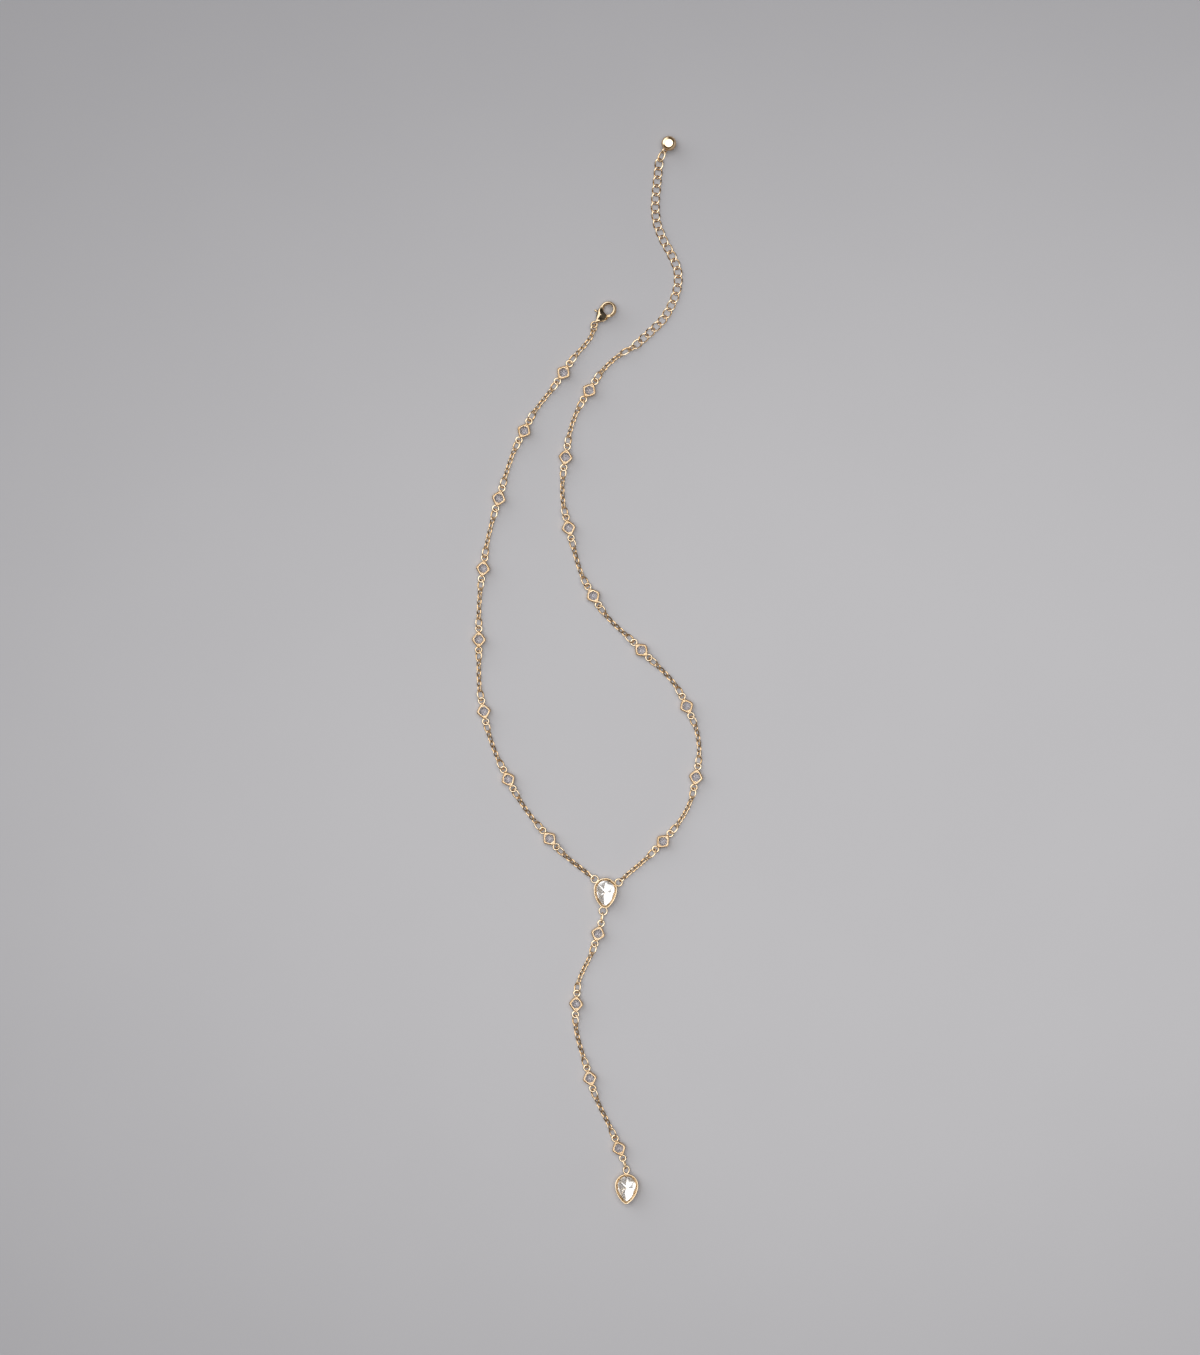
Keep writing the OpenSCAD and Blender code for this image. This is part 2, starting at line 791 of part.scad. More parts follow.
for (i = [1:8]) {
    if (shown(str("setting_l", i))) at_row(LEFT, i) small_setting();
    if (shown(str("setting_r", i))) at_row(RIGHT, i) small_setting();
    if (shown(str("stone_l", i))) at_row(LEFT, i) small_stone();
    if (shown(str("stone_r", i))) at_row(RIGHT, i) small_stone();
}
for (i = [1:4]) {
    if (shown(str("setting_d", i))) at_row(DROP, i) small_setting();
    if (shown(str("stone_d", i))) at_row(DROP, i) small_stone();
}
if (shown("centre_setting")) at_pear(centre_at, centre_turn) pear_setting(centre_tip_r, CENTRE_LOOPS);
if (shown("centre_stone")) at_pear(centre_at, centre_turn) pear_stone(centre_tip_r);
if (shown("pendant_setting")) at_pear(pendant_at, pendant_turn) pear_setting(pendant_tip_r, PENDANT_LOOPS);
if (shown("pendant_stone")) at_pear(pendant_at, pendant_turn) pear_stone(pendant_tip_r);
if (shown("left_chain")) chain(left_rows);
if (shown("right_chain")) chain(right_rows);
if (shown("drop_chain")) chain(drop_rows);
if (shown("extender_chain")) extender_chain();
if (shown("clasp_body")) clasp_body();
if (shown("clasp_lever")) clasp_lever();
if (shown("clasp_ring")) clasp_ring();
if (shown("charm_ring")) charm_ring();
if (shown("end_ball")) end_ball();
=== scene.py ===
import math
from collections import namedtuple

import bmesh
import bpy
import numpy as np
from bpy.props import FloatProperty, FloatVectorProperty, PointerProperty
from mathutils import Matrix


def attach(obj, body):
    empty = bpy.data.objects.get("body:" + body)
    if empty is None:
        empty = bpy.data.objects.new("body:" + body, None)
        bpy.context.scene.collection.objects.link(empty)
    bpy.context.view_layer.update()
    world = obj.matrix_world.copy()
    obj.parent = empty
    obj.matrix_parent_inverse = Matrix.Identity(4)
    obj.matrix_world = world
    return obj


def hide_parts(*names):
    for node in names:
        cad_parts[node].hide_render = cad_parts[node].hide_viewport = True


bl_info = {
    "name": "Rhinestone necklace",
    "version": (1, 0, 0),
    "blender": (4, 5, 0),
    "location": "View3D > Sidebar > Necklace",
    "description": "Builds the looks of a Y necklace over its CAD model",
    "category": "Object",
}

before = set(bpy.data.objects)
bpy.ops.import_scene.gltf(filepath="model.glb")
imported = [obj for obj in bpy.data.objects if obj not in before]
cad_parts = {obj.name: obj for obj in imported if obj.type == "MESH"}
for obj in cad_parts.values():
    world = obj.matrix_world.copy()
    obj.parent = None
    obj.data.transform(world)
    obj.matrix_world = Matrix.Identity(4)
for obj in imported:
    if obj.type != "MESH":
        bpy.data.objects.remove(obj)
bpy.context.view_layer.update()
MM = 0.001

LEFT = ["l%d" % i for i in range(1, 9)]
RIGHT = ["r%d" % i for i in range(1, 9)]
DROP = ["d%d" % i for i in range(1, 5)]
STATIONS = LEFT + RIGHT + DROP

# Middles of the pears' round ends, the clasp's eye and the ball, in mm, and the pears' turn in degrees
CENTRE_AT = (5.95, -72.4, 0.0)
PENDANT_AT = (12.95, -169.9, 0.0)
PEARS_TURN = -2
CLASP_AT = (6.9, 118.8, 1.9)
BALL_AT = (26.85, 173.5)

# Clasp body below its eye, from the eye's left side down to the base ring, in mm from the eye's centre:
# left edge x and y, right edge x and y
CLASP_ROWS = [
    (-2.75, -0.30, -1.69, -0.20),
    (-2.72, -0.90, -1.50, -0.80),
    (-2.68, -1.50, -0.98, -1.39),
    (-2.60, -2.10, -0.20, -1.69),
    (-2.45, -2.65, 0.65, -1.68),
    (-2.20, -3.20, 1.38, -2.05),
    (-1.85, -3.80, 1.52, -2.95),
    (-1.48, -4.40, 1.10, -3.95),
    (-1.18, -5.00, 0.50, -4.90),
    (-1.02, -5.50, 0.05, -5.50),
    (-0.96, -5.90, -0.14, -5.90),
]
# Clasp lever from its thumb tab to the end of its arm: one edge x and y, the other edge x and y
LEVER_ROWS = [
    (-3.54, -2.72, -3.54, -2.98),
    (-3.40, -2.52, -3.40, -3.18),
    (-3.10, -2.50, -3.10, -3.20),
    (-2.80, -2.60, -2.80, -3.05),
    (-2.20, -2.60, -2.20, -3.05),
    (-1.50, -2.55, -1.50, -3.15),
    (-1.15, -2.20, -1.25, -3.55),
    (-0.70, -2.02, -0.60, -3.78),
    (-0.20, -2.12, 0.10, -3.40),
    (0.30, -2.00, 0.70, -3.00),
    (0.75, -1.68, 1.20, -2.55),
    (1.14, -1.40, 1.72, -2.08),
    (1.40, -1.05, 2.02, -1.78),
    (1.58, -0.78, 2.16, -1.58),
    (1.66, -0.57, 2.25, -1.39),
]


def size(name, description, millimetres):
    """A length in metres, given here in millimetres."""
    return FloatProperty(
        name=name,
        description=description,
        default=millimetres * MM,
        min=0.0,
        precision=5,
        subtype="DISTANCE",
        unit="LENGTH",
    )


def tone(name, description, red, green, blue):
    """A linear colour."""
    return FloatVectorProperty(
        name=name,
        description=description,
        default=(red, green, blue),
        min=0.0,
        max=1.0,
        size=3,
        subtype="COLOR",
    )


def amount(name, description, value):
    """A plain number."""
    return FloatProperty(name=name, description=description, default=value, precision=3)


class NECKLACE_PG_sizes(bpy.types.PropertyGroup):
    """Sizes of the pieces, which follow the CAD model"""

    setting_wide: size("Setting width", "Width of a small setting across the strand", 4.7)
    setting_long: size("Setting length", "Length of a small setting without its loops", 5.4)
    setting_high: size("Setting height", "Height of a small setting's rim", 2.4)
    setting_wall: size("Setting wall", "Thickness of a small setting's rim", 0.5)
    stone_r: size("Stone radius", "Radius of a small stone at its girdle", 1.6)
    loop_r: size("Loop radius", "Radius of a small setting's loops", 1.0)
    loop_wire: size("Loop wire", "Wire of a small setting's loops", 0.48)
    loop_at: size("Loop distance", "Distance of a loop from a small setting's centre", 3.5)
    loop_z: size("Loop height", "Height of the fixed loops' middle", 1.26)
    pear_wide: size("Pear width", "Width of a pear setting", 7.7)
    pear_long: size("Pear length", "Length of a pear setting", 9.95)
    pear_high: size("Pear height", "Height of a pear rim", 3.0)
    pear_wall: size("Pear wall", "Thickness of a pear rim", 0.95)
    centre_tip_r: size("Centre tip radius", "Radius of the centre pear's tip", 1.9)
    pendant_tip_r: size("Pendant tip radius", "Radius of the pendant's tip", 1.2)
    ring_wire: size("Ring wire", "Wire of the rings and of the pears' loops", 0.5)
    curb_twist: size("Curb twist", "Twist of a curb link out of its middle plane", 0.38)
    curb_wire: size("Curb wire", "Wire of a curb link", 0.42)
    eye_r: size("Clasp eye", "Radius of the clasp's eye", 1.7)
    claw_wide: size("Hook width", "Width of the hook's band", 1.05)
    clasp_high: size("Clasp height", "Thickness of the clasp", 2.0)
    ball_r: size("Ball radius", "Radius of the polished ball", 2.45)


class NECKLACE_PG_looks(bpy.types.PropertyGroup):
    """Colours, lights and the camera"""

    gold: tone("Gold", "Colour of the polished pale gold", 0.88, 0.73, 0.53)
    gold_deep: tone("Deep gold", "Colour of its warmer patches", 0.82, 0.63, 0.41)
    rim_gold: tone("Rim gold", "Colour of the settings' gold", 0.80, 0.67, 0.49)
    rim_deep: tone("Deep rim gold", "Colour of its warmer patches", 0.70, 0.53, 0.33)
    # Painted shade: the clasp's gold is a darker copy of the pale gold, standing in for its shade and dark
    # reflections
    clasp_shaded_gold: tone("Clasp gold", "Colour of the clasp's darker gold", 0.56, 0.45, 0.31)
    clasp_shaded_deep: tone("Deep clasp gold", "Colour of its warmer patches", 0.48, 0.36, 0.21)
    # Painted shade: this darker gold is laid on steep sides and on parts near the surface, where shade falls
    gold_painted_shade: tone("Side gold", "Colour of its steep sides, where wear has settled", 0.62, 0.40, 0.19)
    # Painted shade: near-black gold for the clasp's groove and left edge, with darker clouds
    clasp_painted_shade: tone("Recess", "Colour of the clasp's recess", 0.045, 0.036, 0.024)
    clasp_painted_shade_deep: tone("Deep recess", "Colour of its darker clouds", 0.022, 0.017, 0.011)
    stone: tone("Stone", "Colour of the clear stones", 0.93, 0.89, 0.93)
    stone_cloud: tone("Stone clouds", "Colour of the clear stones' clouds", 0.86, 0.82, 0.87)
    crown: tone("Crown", "Colour of the pears' clear top", 0.97, 0.98, 1.0)
    crown_cloud: tone("Crown clouds", "Colour of its clouds", 0.93, 0.95, 0.98)
    foil: tone("Foil", "Colour of the silver foil", 0.95, 0.95, 0.96)
    foil_warm: tone("Worn foil", "Colour of the foil's warm patches", 0.88, 0.80, 0.66)
    floor: tone("Floor", "Colour of the grey surface", 0.490, 0.498, 0.534)
    # Painted falloff of light: the surface is painted darker away from the necklace
    floor_painted_falloff: tone("Floor far off", "Colour of the surface away from the necklace", 0.300, 0.304, 0.332)
    sky_bright: tone("Soft box", "Colour of the bright side of the room", 1.0, 0.985, 0.96)
    sky_dark: tone("Dark side", "Colour of the dark side of the room", 0.040, 0.030, 0.020)
    sky_power: amount("Soft box power", "Strength of the room's light", 2.7)
    glow_share: amount("Glow share", "Glow on the left, as a share of the soft box", 0.5)
    bridge_share: amount("Bridge share", "Light between the soft box and the glow, as a share of it", 0.4)
    front_share: amount("Front share", "Low light on the right, as a share of the soft box", 0.40)
    view_high: size("Camera height", "Height of the camera over the surface", 1600)
    view_span: size("View height", "Height of the picture on the surface", 447.15)
    view_x: size("View to the right", "Picture's centre to the right of the origin", 4.158)
    view_y: size("View down", "Picture's centre below the origin", 2.475)


# A piece of surface: points in mm, faces by their points' numbers, the number of the material or one for
# each face, and whether it is smooth
Patch = namedtuple("Patch", "points faces material smooth")


def grid_faces(rows, columns, round_rows):
    """Quads between neighbouring points of a grid whose rows are closed rings. Round_rows joins the last
    row to the first."""
    row = np.arange(rows if round_rows else rows - 1)
    column = np.arange(columns)
    next_row = (row + 1) % rows
    next_column = (column + 1) % columns
    a = row[:, None] * columns + column
    b = row[:, None] * columns + next_column
    c = next_row[:, None] * columns + next_column
    d = next_row[:, None] * columns + column
    return np.stack([a.ravel(), b.ravel(), c.ravel(), d.ravel()], axis=1)


def skin(points, round_rows=True, smooth=True):
    """A patch over a grid of points whose rows are closed rings. Axes before the last three are copies
    of the grid."""
    rows, columns = points.shape[-3:-1]
    copies = points.reshape(-1, rows * columns, 3)
    faces = grid_faces(rows, columns, round_rows)
    shift = np.arange(len(copies))[:, None, None] * rows * columns
    return Patch(copies.reshape(-1, 3), (faces[None] + shift).reshape(-1, 4), 0, smooth)


def cover(ring):
    """One flat face over a closed ring of points."""
    return Patch(ring, np.arange(len(ring))[None], 0, False)


def tent(ring, top):
    """Triangles from a closed ring of points to one point."""
    n = len(ring)
    k = np.arange(n)
    faces = np.stack([k, (k + 1) % n, np.full(n, n)], axis=1)
    return Patch(np.vstack([ring, [top]]), faces, 0, True)


def facets(points, faces, material=0):
    """Flat faces by their corner numbers, all of the same number of corners."""
    return Patch(points, np.array(faces), material, False)


def moved(patches, origin, x_axis, y_axis, z_axis=(0, 0, 1)):
    """The patches with their x, y and z laid along three directions from the origin."""
    axes = np.array([x_axis, y_axis, z_axis], float)
    return [p._replace(points=p.points @ axes + np.asarray(origin)) for p in patches]


def mesh_object(name, patches, materials, body, nodes, sharp=35.0):
    """An object from patches in millimetres, welded, with its faces outward. It replaces its CAD nodes. Its
    attribute side marks painted shade: it is (0.86 - |z of the normal|) / 0.5, held between 0 and 1, so
    steep sides are painted darker, or more near the surface, where shade falls under other parts: (1 -
    height) / 0.6, up to 0.75."""
    points = np.concatenate([p.points for p in patches]) * MM
    starts = np.cumsum([0] + [len(p.points) for p in patches])
    loops = np.concatenate([(p.faces + s).ravel() for p, s in zip(patches, starts)])
    counts = np.concatenate([np.full(len(p.faces), p.faces.shape[1]) for p in patches])
    shades = np.concatenate([np.full(len(p.faces), p.smooth) for p in patches])
    paints = np.concatenate([np.full(len(p.faces), p.material) for p in patches])
    mesh = bpy.data.meshes.new(name)
    mesh.vertices.add(len(points))
    mesh.vertices.foreach_set("co", points.ravel())
    mesh.loops.add(len(loops))
    mesh.loops.foreach_set("vertex_index", loops.astype(np.int32))
    mesh.polygons.add(len(counts))
    mesh.polygons.foreach_set("loop_start", np.concatenate([[0], np.cumsum(counts)[:-1]]).astype(np.int32))
    mesh.polygons.foreach_set("use_smooth", shades)
    mesh.polygons.foreach_set("material_index", paints.astype(np.int32))
    mesh.update(calc_edges=True)
    mesh.validate()
    for material in materials:
        mesh.materials.append(material)
    work = bmesh.new()
    work.from_mesh(mesh)
    bmesh.ops.remove_doubles(work, verts=work.verts, dist=1e-7)
    bmesh.ops.recalc_face_normals(work, faces=work.faces)
    work.to_mesh(mesh)
    work.free()
    mesh.set_sharp_from_angle(angle=math.radians(sharp))
    normals = np.empty(len(mesh.vertices) * 3)
    mesh.vertices.foreach_get("normal", normals)
    heights = np.empty(len(mesh.vertices) * 3)
    mesh.vertices.foreach_get("co", heights)
    # Painted shade: steep sides, and parts low near the surface, get more of the darker side gold
    side = np.clip((0.86 - np.abs(normals[2::3])) / 0.5, 0, 1)
    low = np.clip((1.0 - heights[2::3] / MM) / 0.6, 0, 0.75)
    side = np.maximum(side, low)
    mesh.attributes.new("side", "FLOAT", "POINT").data.foreach_set("value", side)
    piece = bpy.data.objects.new(name, mesh)
    bpy.context.scene.collection.objects.link(piece)
    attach(piece, body)
    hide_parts(*nodes)
    return piece


def node_mesh(name):
    """Points in mm and triangles of a CAD node, with points at the same place as one."""
    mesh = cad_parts[name].data
    mesh.calc_loop_triangles()
    points = np.empty(len(mesh.vertices) * 3)
    mesh.vertices.foreach_get("co", points)
    triangles = np.empty(len(mesh.loop_triangles) * 3, np.int32)
    mesh.loop_triangles.foreach_get("vertices", triangles)
    points = points.reshape(-1, 3) / MM
    keys = np.round(points * 2000).astype(np.int64)
    _, first, number = np.unique(keys, axis=0, return_index=True, return_inverse=True)
    return points[first], number.ravel()[triangles].reshape(-1, 3)


def pose_of(points, triangles):
    """Centre, three directions and three sizes of a closed shape, longest first, from the spread of its
    surface."""
    corners = points[triangles]
    area = np.linalg.norm(np.cross(corners[:, 1] - corners[:, 0], corners[:, 2] - corners[:, 0]), axis=1)
    middle = corners.mean(axis=1)
    centre = (middle * area[:, None]).sum(axis=0) / area.sum()
    spread = (middle - centre).T @ ((middle - centre) * area[:, None])
    axes = np.linalg.eigh(spread)[1][:, ::-1].T
    axes[2] = np.cross(axes[0], axes[1])
    along = (points[np.unique(triangles)] - centre) @ axes.T
    return centre + ((along.max(axis=0) + along.min(axis=0)) / 2) @ axes, axes, np.ptp(along, axis=0)


def loose_parts(name):
    """Centres, directions and sizes of the loose pieces of a CAD node, one row for each."""
    points, triangles = node_mesh(name)
    # Each point takes the lowest number among its triangles' points, until nothing changes
    label = np.arange(len(points))
    while True:
        lowest = label.copy()
        np.minimum.at(lowest, triangles.ravel(), np.repeat(label[triangles].min(axis=1), 3))
        if np.array_equal(lowest, label):
            break
        label = lowest
    owner = label[triangles[:, 0]]
    found = [pose_of(points, triangles[owner == k]) for k in np.unique(owner)]
    return [np.array(column) for column in zip(*found)]


def race_links(centres, axes, sizes, turn, pinch, sides):
    """Oval links. The middle line is (a cos t, b sin t) in the link's plane, its outward direction is
    (b cos t, a sin t) made one long, and the wire is a circle spanned by that direction and the
    link's normal, which pinch narrows."""
    wire = sizes[:, 2]
    a, b = ((sizes[:, i] - wire)[:, None] / 2 for i in (0, 1))
    flat = np.stack([a * np.cos(turn), b * np.sin(turn)], axis=-1)
    square = np.stack([b * np.cos(turn), a * np.sin(turn)], axis=-1)
    square /= np.linalg.norm(square, axis=-1, keepdims=True)
    middle = centres[:, None] + np.einsum("ntk,nkx->ntx", flat, axes[:, :2])
    out = np.einsum("ntk,nkx->ntx", square, axes[:, :2])
    around = 2 * np.pi * np.arange(sides) / sides
    way = np.cos(around)[:, None] * out[:, :, None] + np.sin(around)[:, None] * axes[:, None, None, 2]
    radius = wire[:, None] / 2 * pinch
    return skin(middle[:, :, None] + way * radius[:, :, None, None])


def curb_links(centres, axes, sizes, twist, wire, rows, sides):
    """Curb links. The middle line is (a cos t, b sin t, c sin 2t), and the wire is a circle round it,
    spanned by the level direction square to the line and the direction square to both."""
    t = 2 * np.pi * np.arange(rows) / rows
    half = (sizes[:, :2] - wire) / 2
    a, b = half[:, :1], half[:, 1:]
    lift = np.broadcast_to(twist * np.sin(2 * t), (len(half), rows))
    local = np.stack([a * np.cos(t), b * np.sin(t), lift], axis=-1)
    climb = np.broadcast_to(2 * twist * np.cos(2 * t), lift.shape)
    way = np.stack([-a * np.sin(t), b * np.cos(t), climb], axis=-1)
    way /= np.linalg.norm(way, axis=-1, keepdims=True)
    side = np.cross([0.0, 0.0, 1.0], way)
    side /= np.linalg.norm(side, axis=-1, keepdims=True)
    up = np.cross(way, side)
    k = 2 * np.pi * np.arange(sides) / sides
    ring = np.cos(k)[:, None] * side[:, :, None] + np.sin(k)[:, None] * up[:, :, None]
    points = local[:, :, None] + ring * wire / 2
    return skin(np.einsum("nrsk,nkx->nrsx", points, axes) + centres[:, None, None])


def chain_patches(name):
    """The links of a chain node: fine links of few sides, and rings with a hairline seam where the wire
    closes."""
    centres, axes, sizes = loose_parts(name)
    thinnest_ring = 0.43
    fine = sizes[:, 2] < thinnest_ring
    patches = []
    if fine.any():
        steps = 20
        turn = 2 * np.pi * (np.arange(steps) + 0.5) / steps
        patches.append(race_links(centres[fine], axes[fine], sizes[fine], turn, np.ones(steps), 7))
    if not fine.all():
        steps = 36
        turn = 2 * np.pi * (np.arange(steps) + 0.5) / steps
        seam = np.radians([57.2, 58.6, 59.4, 60.8])
        seam_pinch = [1.0, 0.8, 0.8, 1.0]
        order = np.argsort(np.concatenate([turn, seam]))
        pinch = np.concatenate([np.ones(steps), seam_pinch])[order]
        turn = np.concatenate([turn, seam])[order]
        patches.append(race_links(centres[~fine], axes[~fine], sizes[~fine], turn, pinch, 12))
    return patches


def torus(centre, radius, wire, rows, sides, spin=None, narrow=1.0):
    """A ring of wire round a centre: radius times (narrow cos t, sin t), with a circle of the wire's radius
    round it. Spin is a matrix that turns it first."""
    t = 2 * np.pi * np.arange(rows) / rows
    a = 2 * np.pi * np.arange(sides) / sides
    reach = radius + wire / 2 * np.cos(a)
    x = np.cos(t)[:, None] * (reach + radius * (narrow - 1))
    y = np.sin(t)[:, None] * reach
    z = np.broadcast_to(wire / 2 * np.sin(a), x.shape)
    points = np.stack([x, y, z], axis=-1)
    if spin is not None:
        points = points @ np.asarray(spin).T
    return skin(points + np.asarray(centre))


def blob(centre, radii, rows, columns):
    """A rounded lump: the point at angles u and v is (cos u sin v, sin u sin v, cos v) times three radii."""
    v = np.pi * (np.arange(1, rows)) / rows
    u = 2 * np.pi * np.arange(columns) / columns
    x = np.cos(u) * np.sin(v)[:, None]
    y = np.sin(u) * np.sin(v)[:, None]
    z = np.broadcast_to(np.cos(v)[:, None], x.shape)
    points = np.stack([x, y, z], axis=-1) * np.asarray(radii) + np.asarray(centre)
    top = np.asarray(centre) + np.array([0, 0, radii[2]])
    low = np.asarray(centre) - np.array([0, 0, radii[2]])
    return [skin(points, round_rows=False), tent(points[0], top), tent(points[-1], low)]


def spun(profile, columns):
    """A closed profile of rows of radius and height, turned about the z axis."""
    profile = np.asarray(profile, float)
    u = 2 * np.pi * np.arange(columns) / columns
    x = profile[:, 0, None] * np.cos(u)
    y = profile[:, 0, None] * np.sin(u)
    z = np.broadcast_to(profile[:, 1, None], x.shape)
    return skin(np.stack([x, y, z], axis=-1))


def meet(p, rp, q, rq):
    """The left-hand point that lies rp from p and rq from q."""
    d = np.linalg.norm(q - p)
    a = (rp**2 - rq**2 + d**2) / (2 * d)
    h = math.sqrt(rp**2 - a**2)
    u = (q - p) / d
    return p + a * u + h * np.array([-u[1], u[0]])


def arc_line(arcs, count):
    """Points and outward directions along arcs that join smoothly: each arc is its centre's x and y,
    its radius and the angles it runs between, and it gets count points."""
    arcs = np.array(arcs)
    k = np.arange(count) / count
    a = arcs[:, 3, None] + (arcs[:, 4] - arcs[:, 3])[:, None] * k
    out = np.stack([np.cos(a), np.sin(a)], axis=-1)
    points = arcs[:, None, :2] + out * arcs[:, None, 2, None]
    return points.reshape(-1, 2), out.reshape(-1, 2)


def lozenge(half_x, half_y, side_r, end_r, long_r):
    """Arcs of a lozenge with rounded corners, symmetric about both axes."""
    p = np.array([half_x - side_r, 0.0])
    q = np.array([0.0, half_y - end_r])
    c = meet(p, long_r - side_r, q, long_r - end_r)
    t1 = math.atan2(*(p - c)[::-1])
    t2 = math.atan2(*(q - c)[::-1])
    pi = math.pi
    return [
        (p[0], 0, side_r, -t1, t1),
        (c[0], c[1], long_r, t1, t2),
        (0, q[1], end_r, t2, pi - t2),
        (-c[0], c[1], long_r, pi - t2, pi - t1),
        (-p[0], 0, side_r, pi - t1, pi + t1),
        (-c[0], -c[1], long_r, pi + t1, pi + t2),
        (0, -q[1], end_r, pi + t2, 2 * pi - t2),
        (c[0], -c[1], long_r, 2 * pi - t2, 2 * pi - t1),
    ]


def pear(top_r, low, tip_r, side_r):
    """Arcs of a pear with its round end about the origin and its tip at -low."""
    tip = np.array([0.0, tip_r - low])
    c = meet(tip, side_r - tip_r, np.zeros(2), side_r - top_r)
    t1 = math.atan2(*(tip - c)[::-1])
    t2 = math.atan2(*(-c)[::-1])
    pi = math.pi
    return [
        (0, 0, top_r, t2, pi - t2),
        (-c[0], c[1], side_r, pi - t2, pi - t1),
        (0, tip[1], tip_r, pi - t1, 2 * pi + t1),
        (c[0], c[1], side_r, t1, t2),
    ]


def along_line(line, profile):
    """Rows of a profile of inset and height, carried along a line of points with outward directions."""
    points, out = line
    profile = np.asarray(profile, float)
    xy = points[None] - out[None] * profile[:, 0, None, None]
    z = np.broadcast_to(profile[:, 1, None, None], xy.shape[:2] + (1,))
    return np.concatenate([xy, z], axis=-1)


def rounded_top(wall, high, ease, count=7):
    """Rows of inset and height over the top of a wall: half an ellipse, the wall's width wide and twice
    ease high."""
    a = np.pi * np.arange(count + 1) / count
    return np.stack([wall / 2 * (1 - np.cos(a)), high - ease + ease * np.sin(a)], axis=-1)


class Wire:
    """An output of a shader node that takes part in Python sums."""

    def __init__(self, tree, source):
        self.tree = tree
        self.source = source

    def make(self, kind, inputs, output=0, **settings):
        """A new node of this kind with these settings, fed with sockets or plain values."""
        return make_node(self.tree, kind, inputs, output, **settings)

    def math(self, operation, a, b=0.0):
        """One step of shader maths."""
        return self.make("ShaderNodeMath", {0: a, 1: b}, operation=operation)

    def __add__(self, other):
        return self.math("ADD", self, other)

    def __radd__(self, other):
        return self.math("ADD", other, self)

    def __sub__(self, other):
        return self.math("SUBTRACT", self, other)

    def __rsub__(self, other):
        return self.math("SUBTRACT", other, self)

    def __mul__(self, other):
        return self.math("MULTIPLY", self, other)

    def __rmul__(self, other):
        return self.math("MULTIPLY", other, self)

    def step(self, low, high):
        """0 below low, 1 above high and smooth between."""
        inputs = {"Value": self, "From Min": low, "From Max": high}
        return self.make("ShaderNodeMapRange", inputs, interpolation_type="SMOOTHSTEP")

    def mix(self, a, b):
        """The colour a where this is 0 and b where it is 1."""
        return self.make("ShaderNodeMix", {0: self, 6: a, 7: b}, 2, data_type="RGBA")


def facing(tree, way, towards):
    """How much a direction points towards another, from -1 to 1."""
    length = math.sqrt(sum(c * c for c in towards))
    inputs = {0: way, 1: tuple(c / length for c in towards)}
    return make_node(tree, "ShaderNodeVectorMath", inputs, "Value", operation="DOT_PRODUCT")


def make_node(tree, kind, inputs, output=0, **settings):
    """A new shader node, with each input given by its name or number."""
    node = tree.nodes.new(kind)
    for key, value in settings.items():
        setattr(node, key, value)
    for key, value in inputs.items():
        socket = node.inputs[key]
        if isinstance(value, Wire):
            tree.links.new(value.source, socket)
        elif isinstance(socket.default_value, (int, float)):
            socket.default_value = value
        else:
            value = tuple(value)
            socket.default_value = value + (1.0,) * (len(socket.default_value) - len(value))
    return Wire(tree, node.outputs[output]) if node.outputs else None


def new_material(name):
    """An empty node material, with the object's own coordinates in millimetres."""
    material = bpy.data.materials.new(name)
    material.use_nodes = True
    tree = material.node_tree
    tree.nodes.clear()
    place = make_node(tree, "ShaderNodeTexCoord", {}, "Object")
    inputs = {0: place, 1: (1000.0, 1000.0, 1000.0)}
    return material, tree, make_node(tree, "ShaderNodeVectorMath", inputs, operation="MULTIPLY")


def noise(tree, place, scale, detail=2.0):
    """Soft noise from 0 to 1, with scale features to a millimetre."""
    inputs = {"Vector": place, "Scale": scale, "Detail": detail}
    return make_node(tree, "ShaderNodeTexNoise", inputs, "Fac")


def finish_material(tree, inputs):
    """The Principled surface of a material."""
    surface = make_node(tree, "ShaderNodeBsdfPrincipled", inputs)
    make_node(tree, "ShaderNodeOutputMaterial", {"Surface": surface})


def gold_look(name, top, deep, steep):
    """Polished gold of three tones: its own, warmer patches, and a darker tone painted as shade on steep
    sides and near the surface; with faint dull clouds and hairline wear.
    """
    material, tree, place = new_material(name)
    patches = noise(tree, place, 0.35).step(0.35, 0.7)
    clouds = noise(tree, place, 2.2, 3.0)
    wear = noise(tree, make_node(
        tree, "ShaderNodeVectorMath", {0: place, 1: (9.0, 2.5, 6.0)}, operation="MULTIPLY"
    ), 1.0, 4.0)
    bump = make_node(tree, "ShaderNodeBump", {"Strength": 0.05, "Distance": 0.00002, "Height": wear})
    # The side attribute says where painted shade darkens the gold
    side = make_node(tree, "ShaderNodeAttribute", {}, "Fac", attribute_name="side")
    finish_material(tree, {
        "Base Color": side.mix(patches.mix(top, deep), steep),
        "Metallic": 1.0,
        "Roughness": 0.03 + clouds * 0.08,
        "Normal": bump,
    })
    return material


def gold_material(looks):
    """The pale gold of the chains and the ball."""
    return gold_look("pale_gold", looks.gold, looks.gold_deep, looks.gold_painted_shade)


def rim_gold_material(looks):
    """The gold of the settings, a little darker."""
    return gold_look("rim_gold", looks.rim_gold, looks.rim_deep, looks.gold_painted_shade)


def clasp_shaded_gold_material(looks):
    """The gold of the clasp, painted darker as shade and dark reflection."""
    return gold_look("clasp_shaded_gold", looks.clasp_shaded_gold, looks.clasp_shaded_deep, looks.gold_painted_shade)


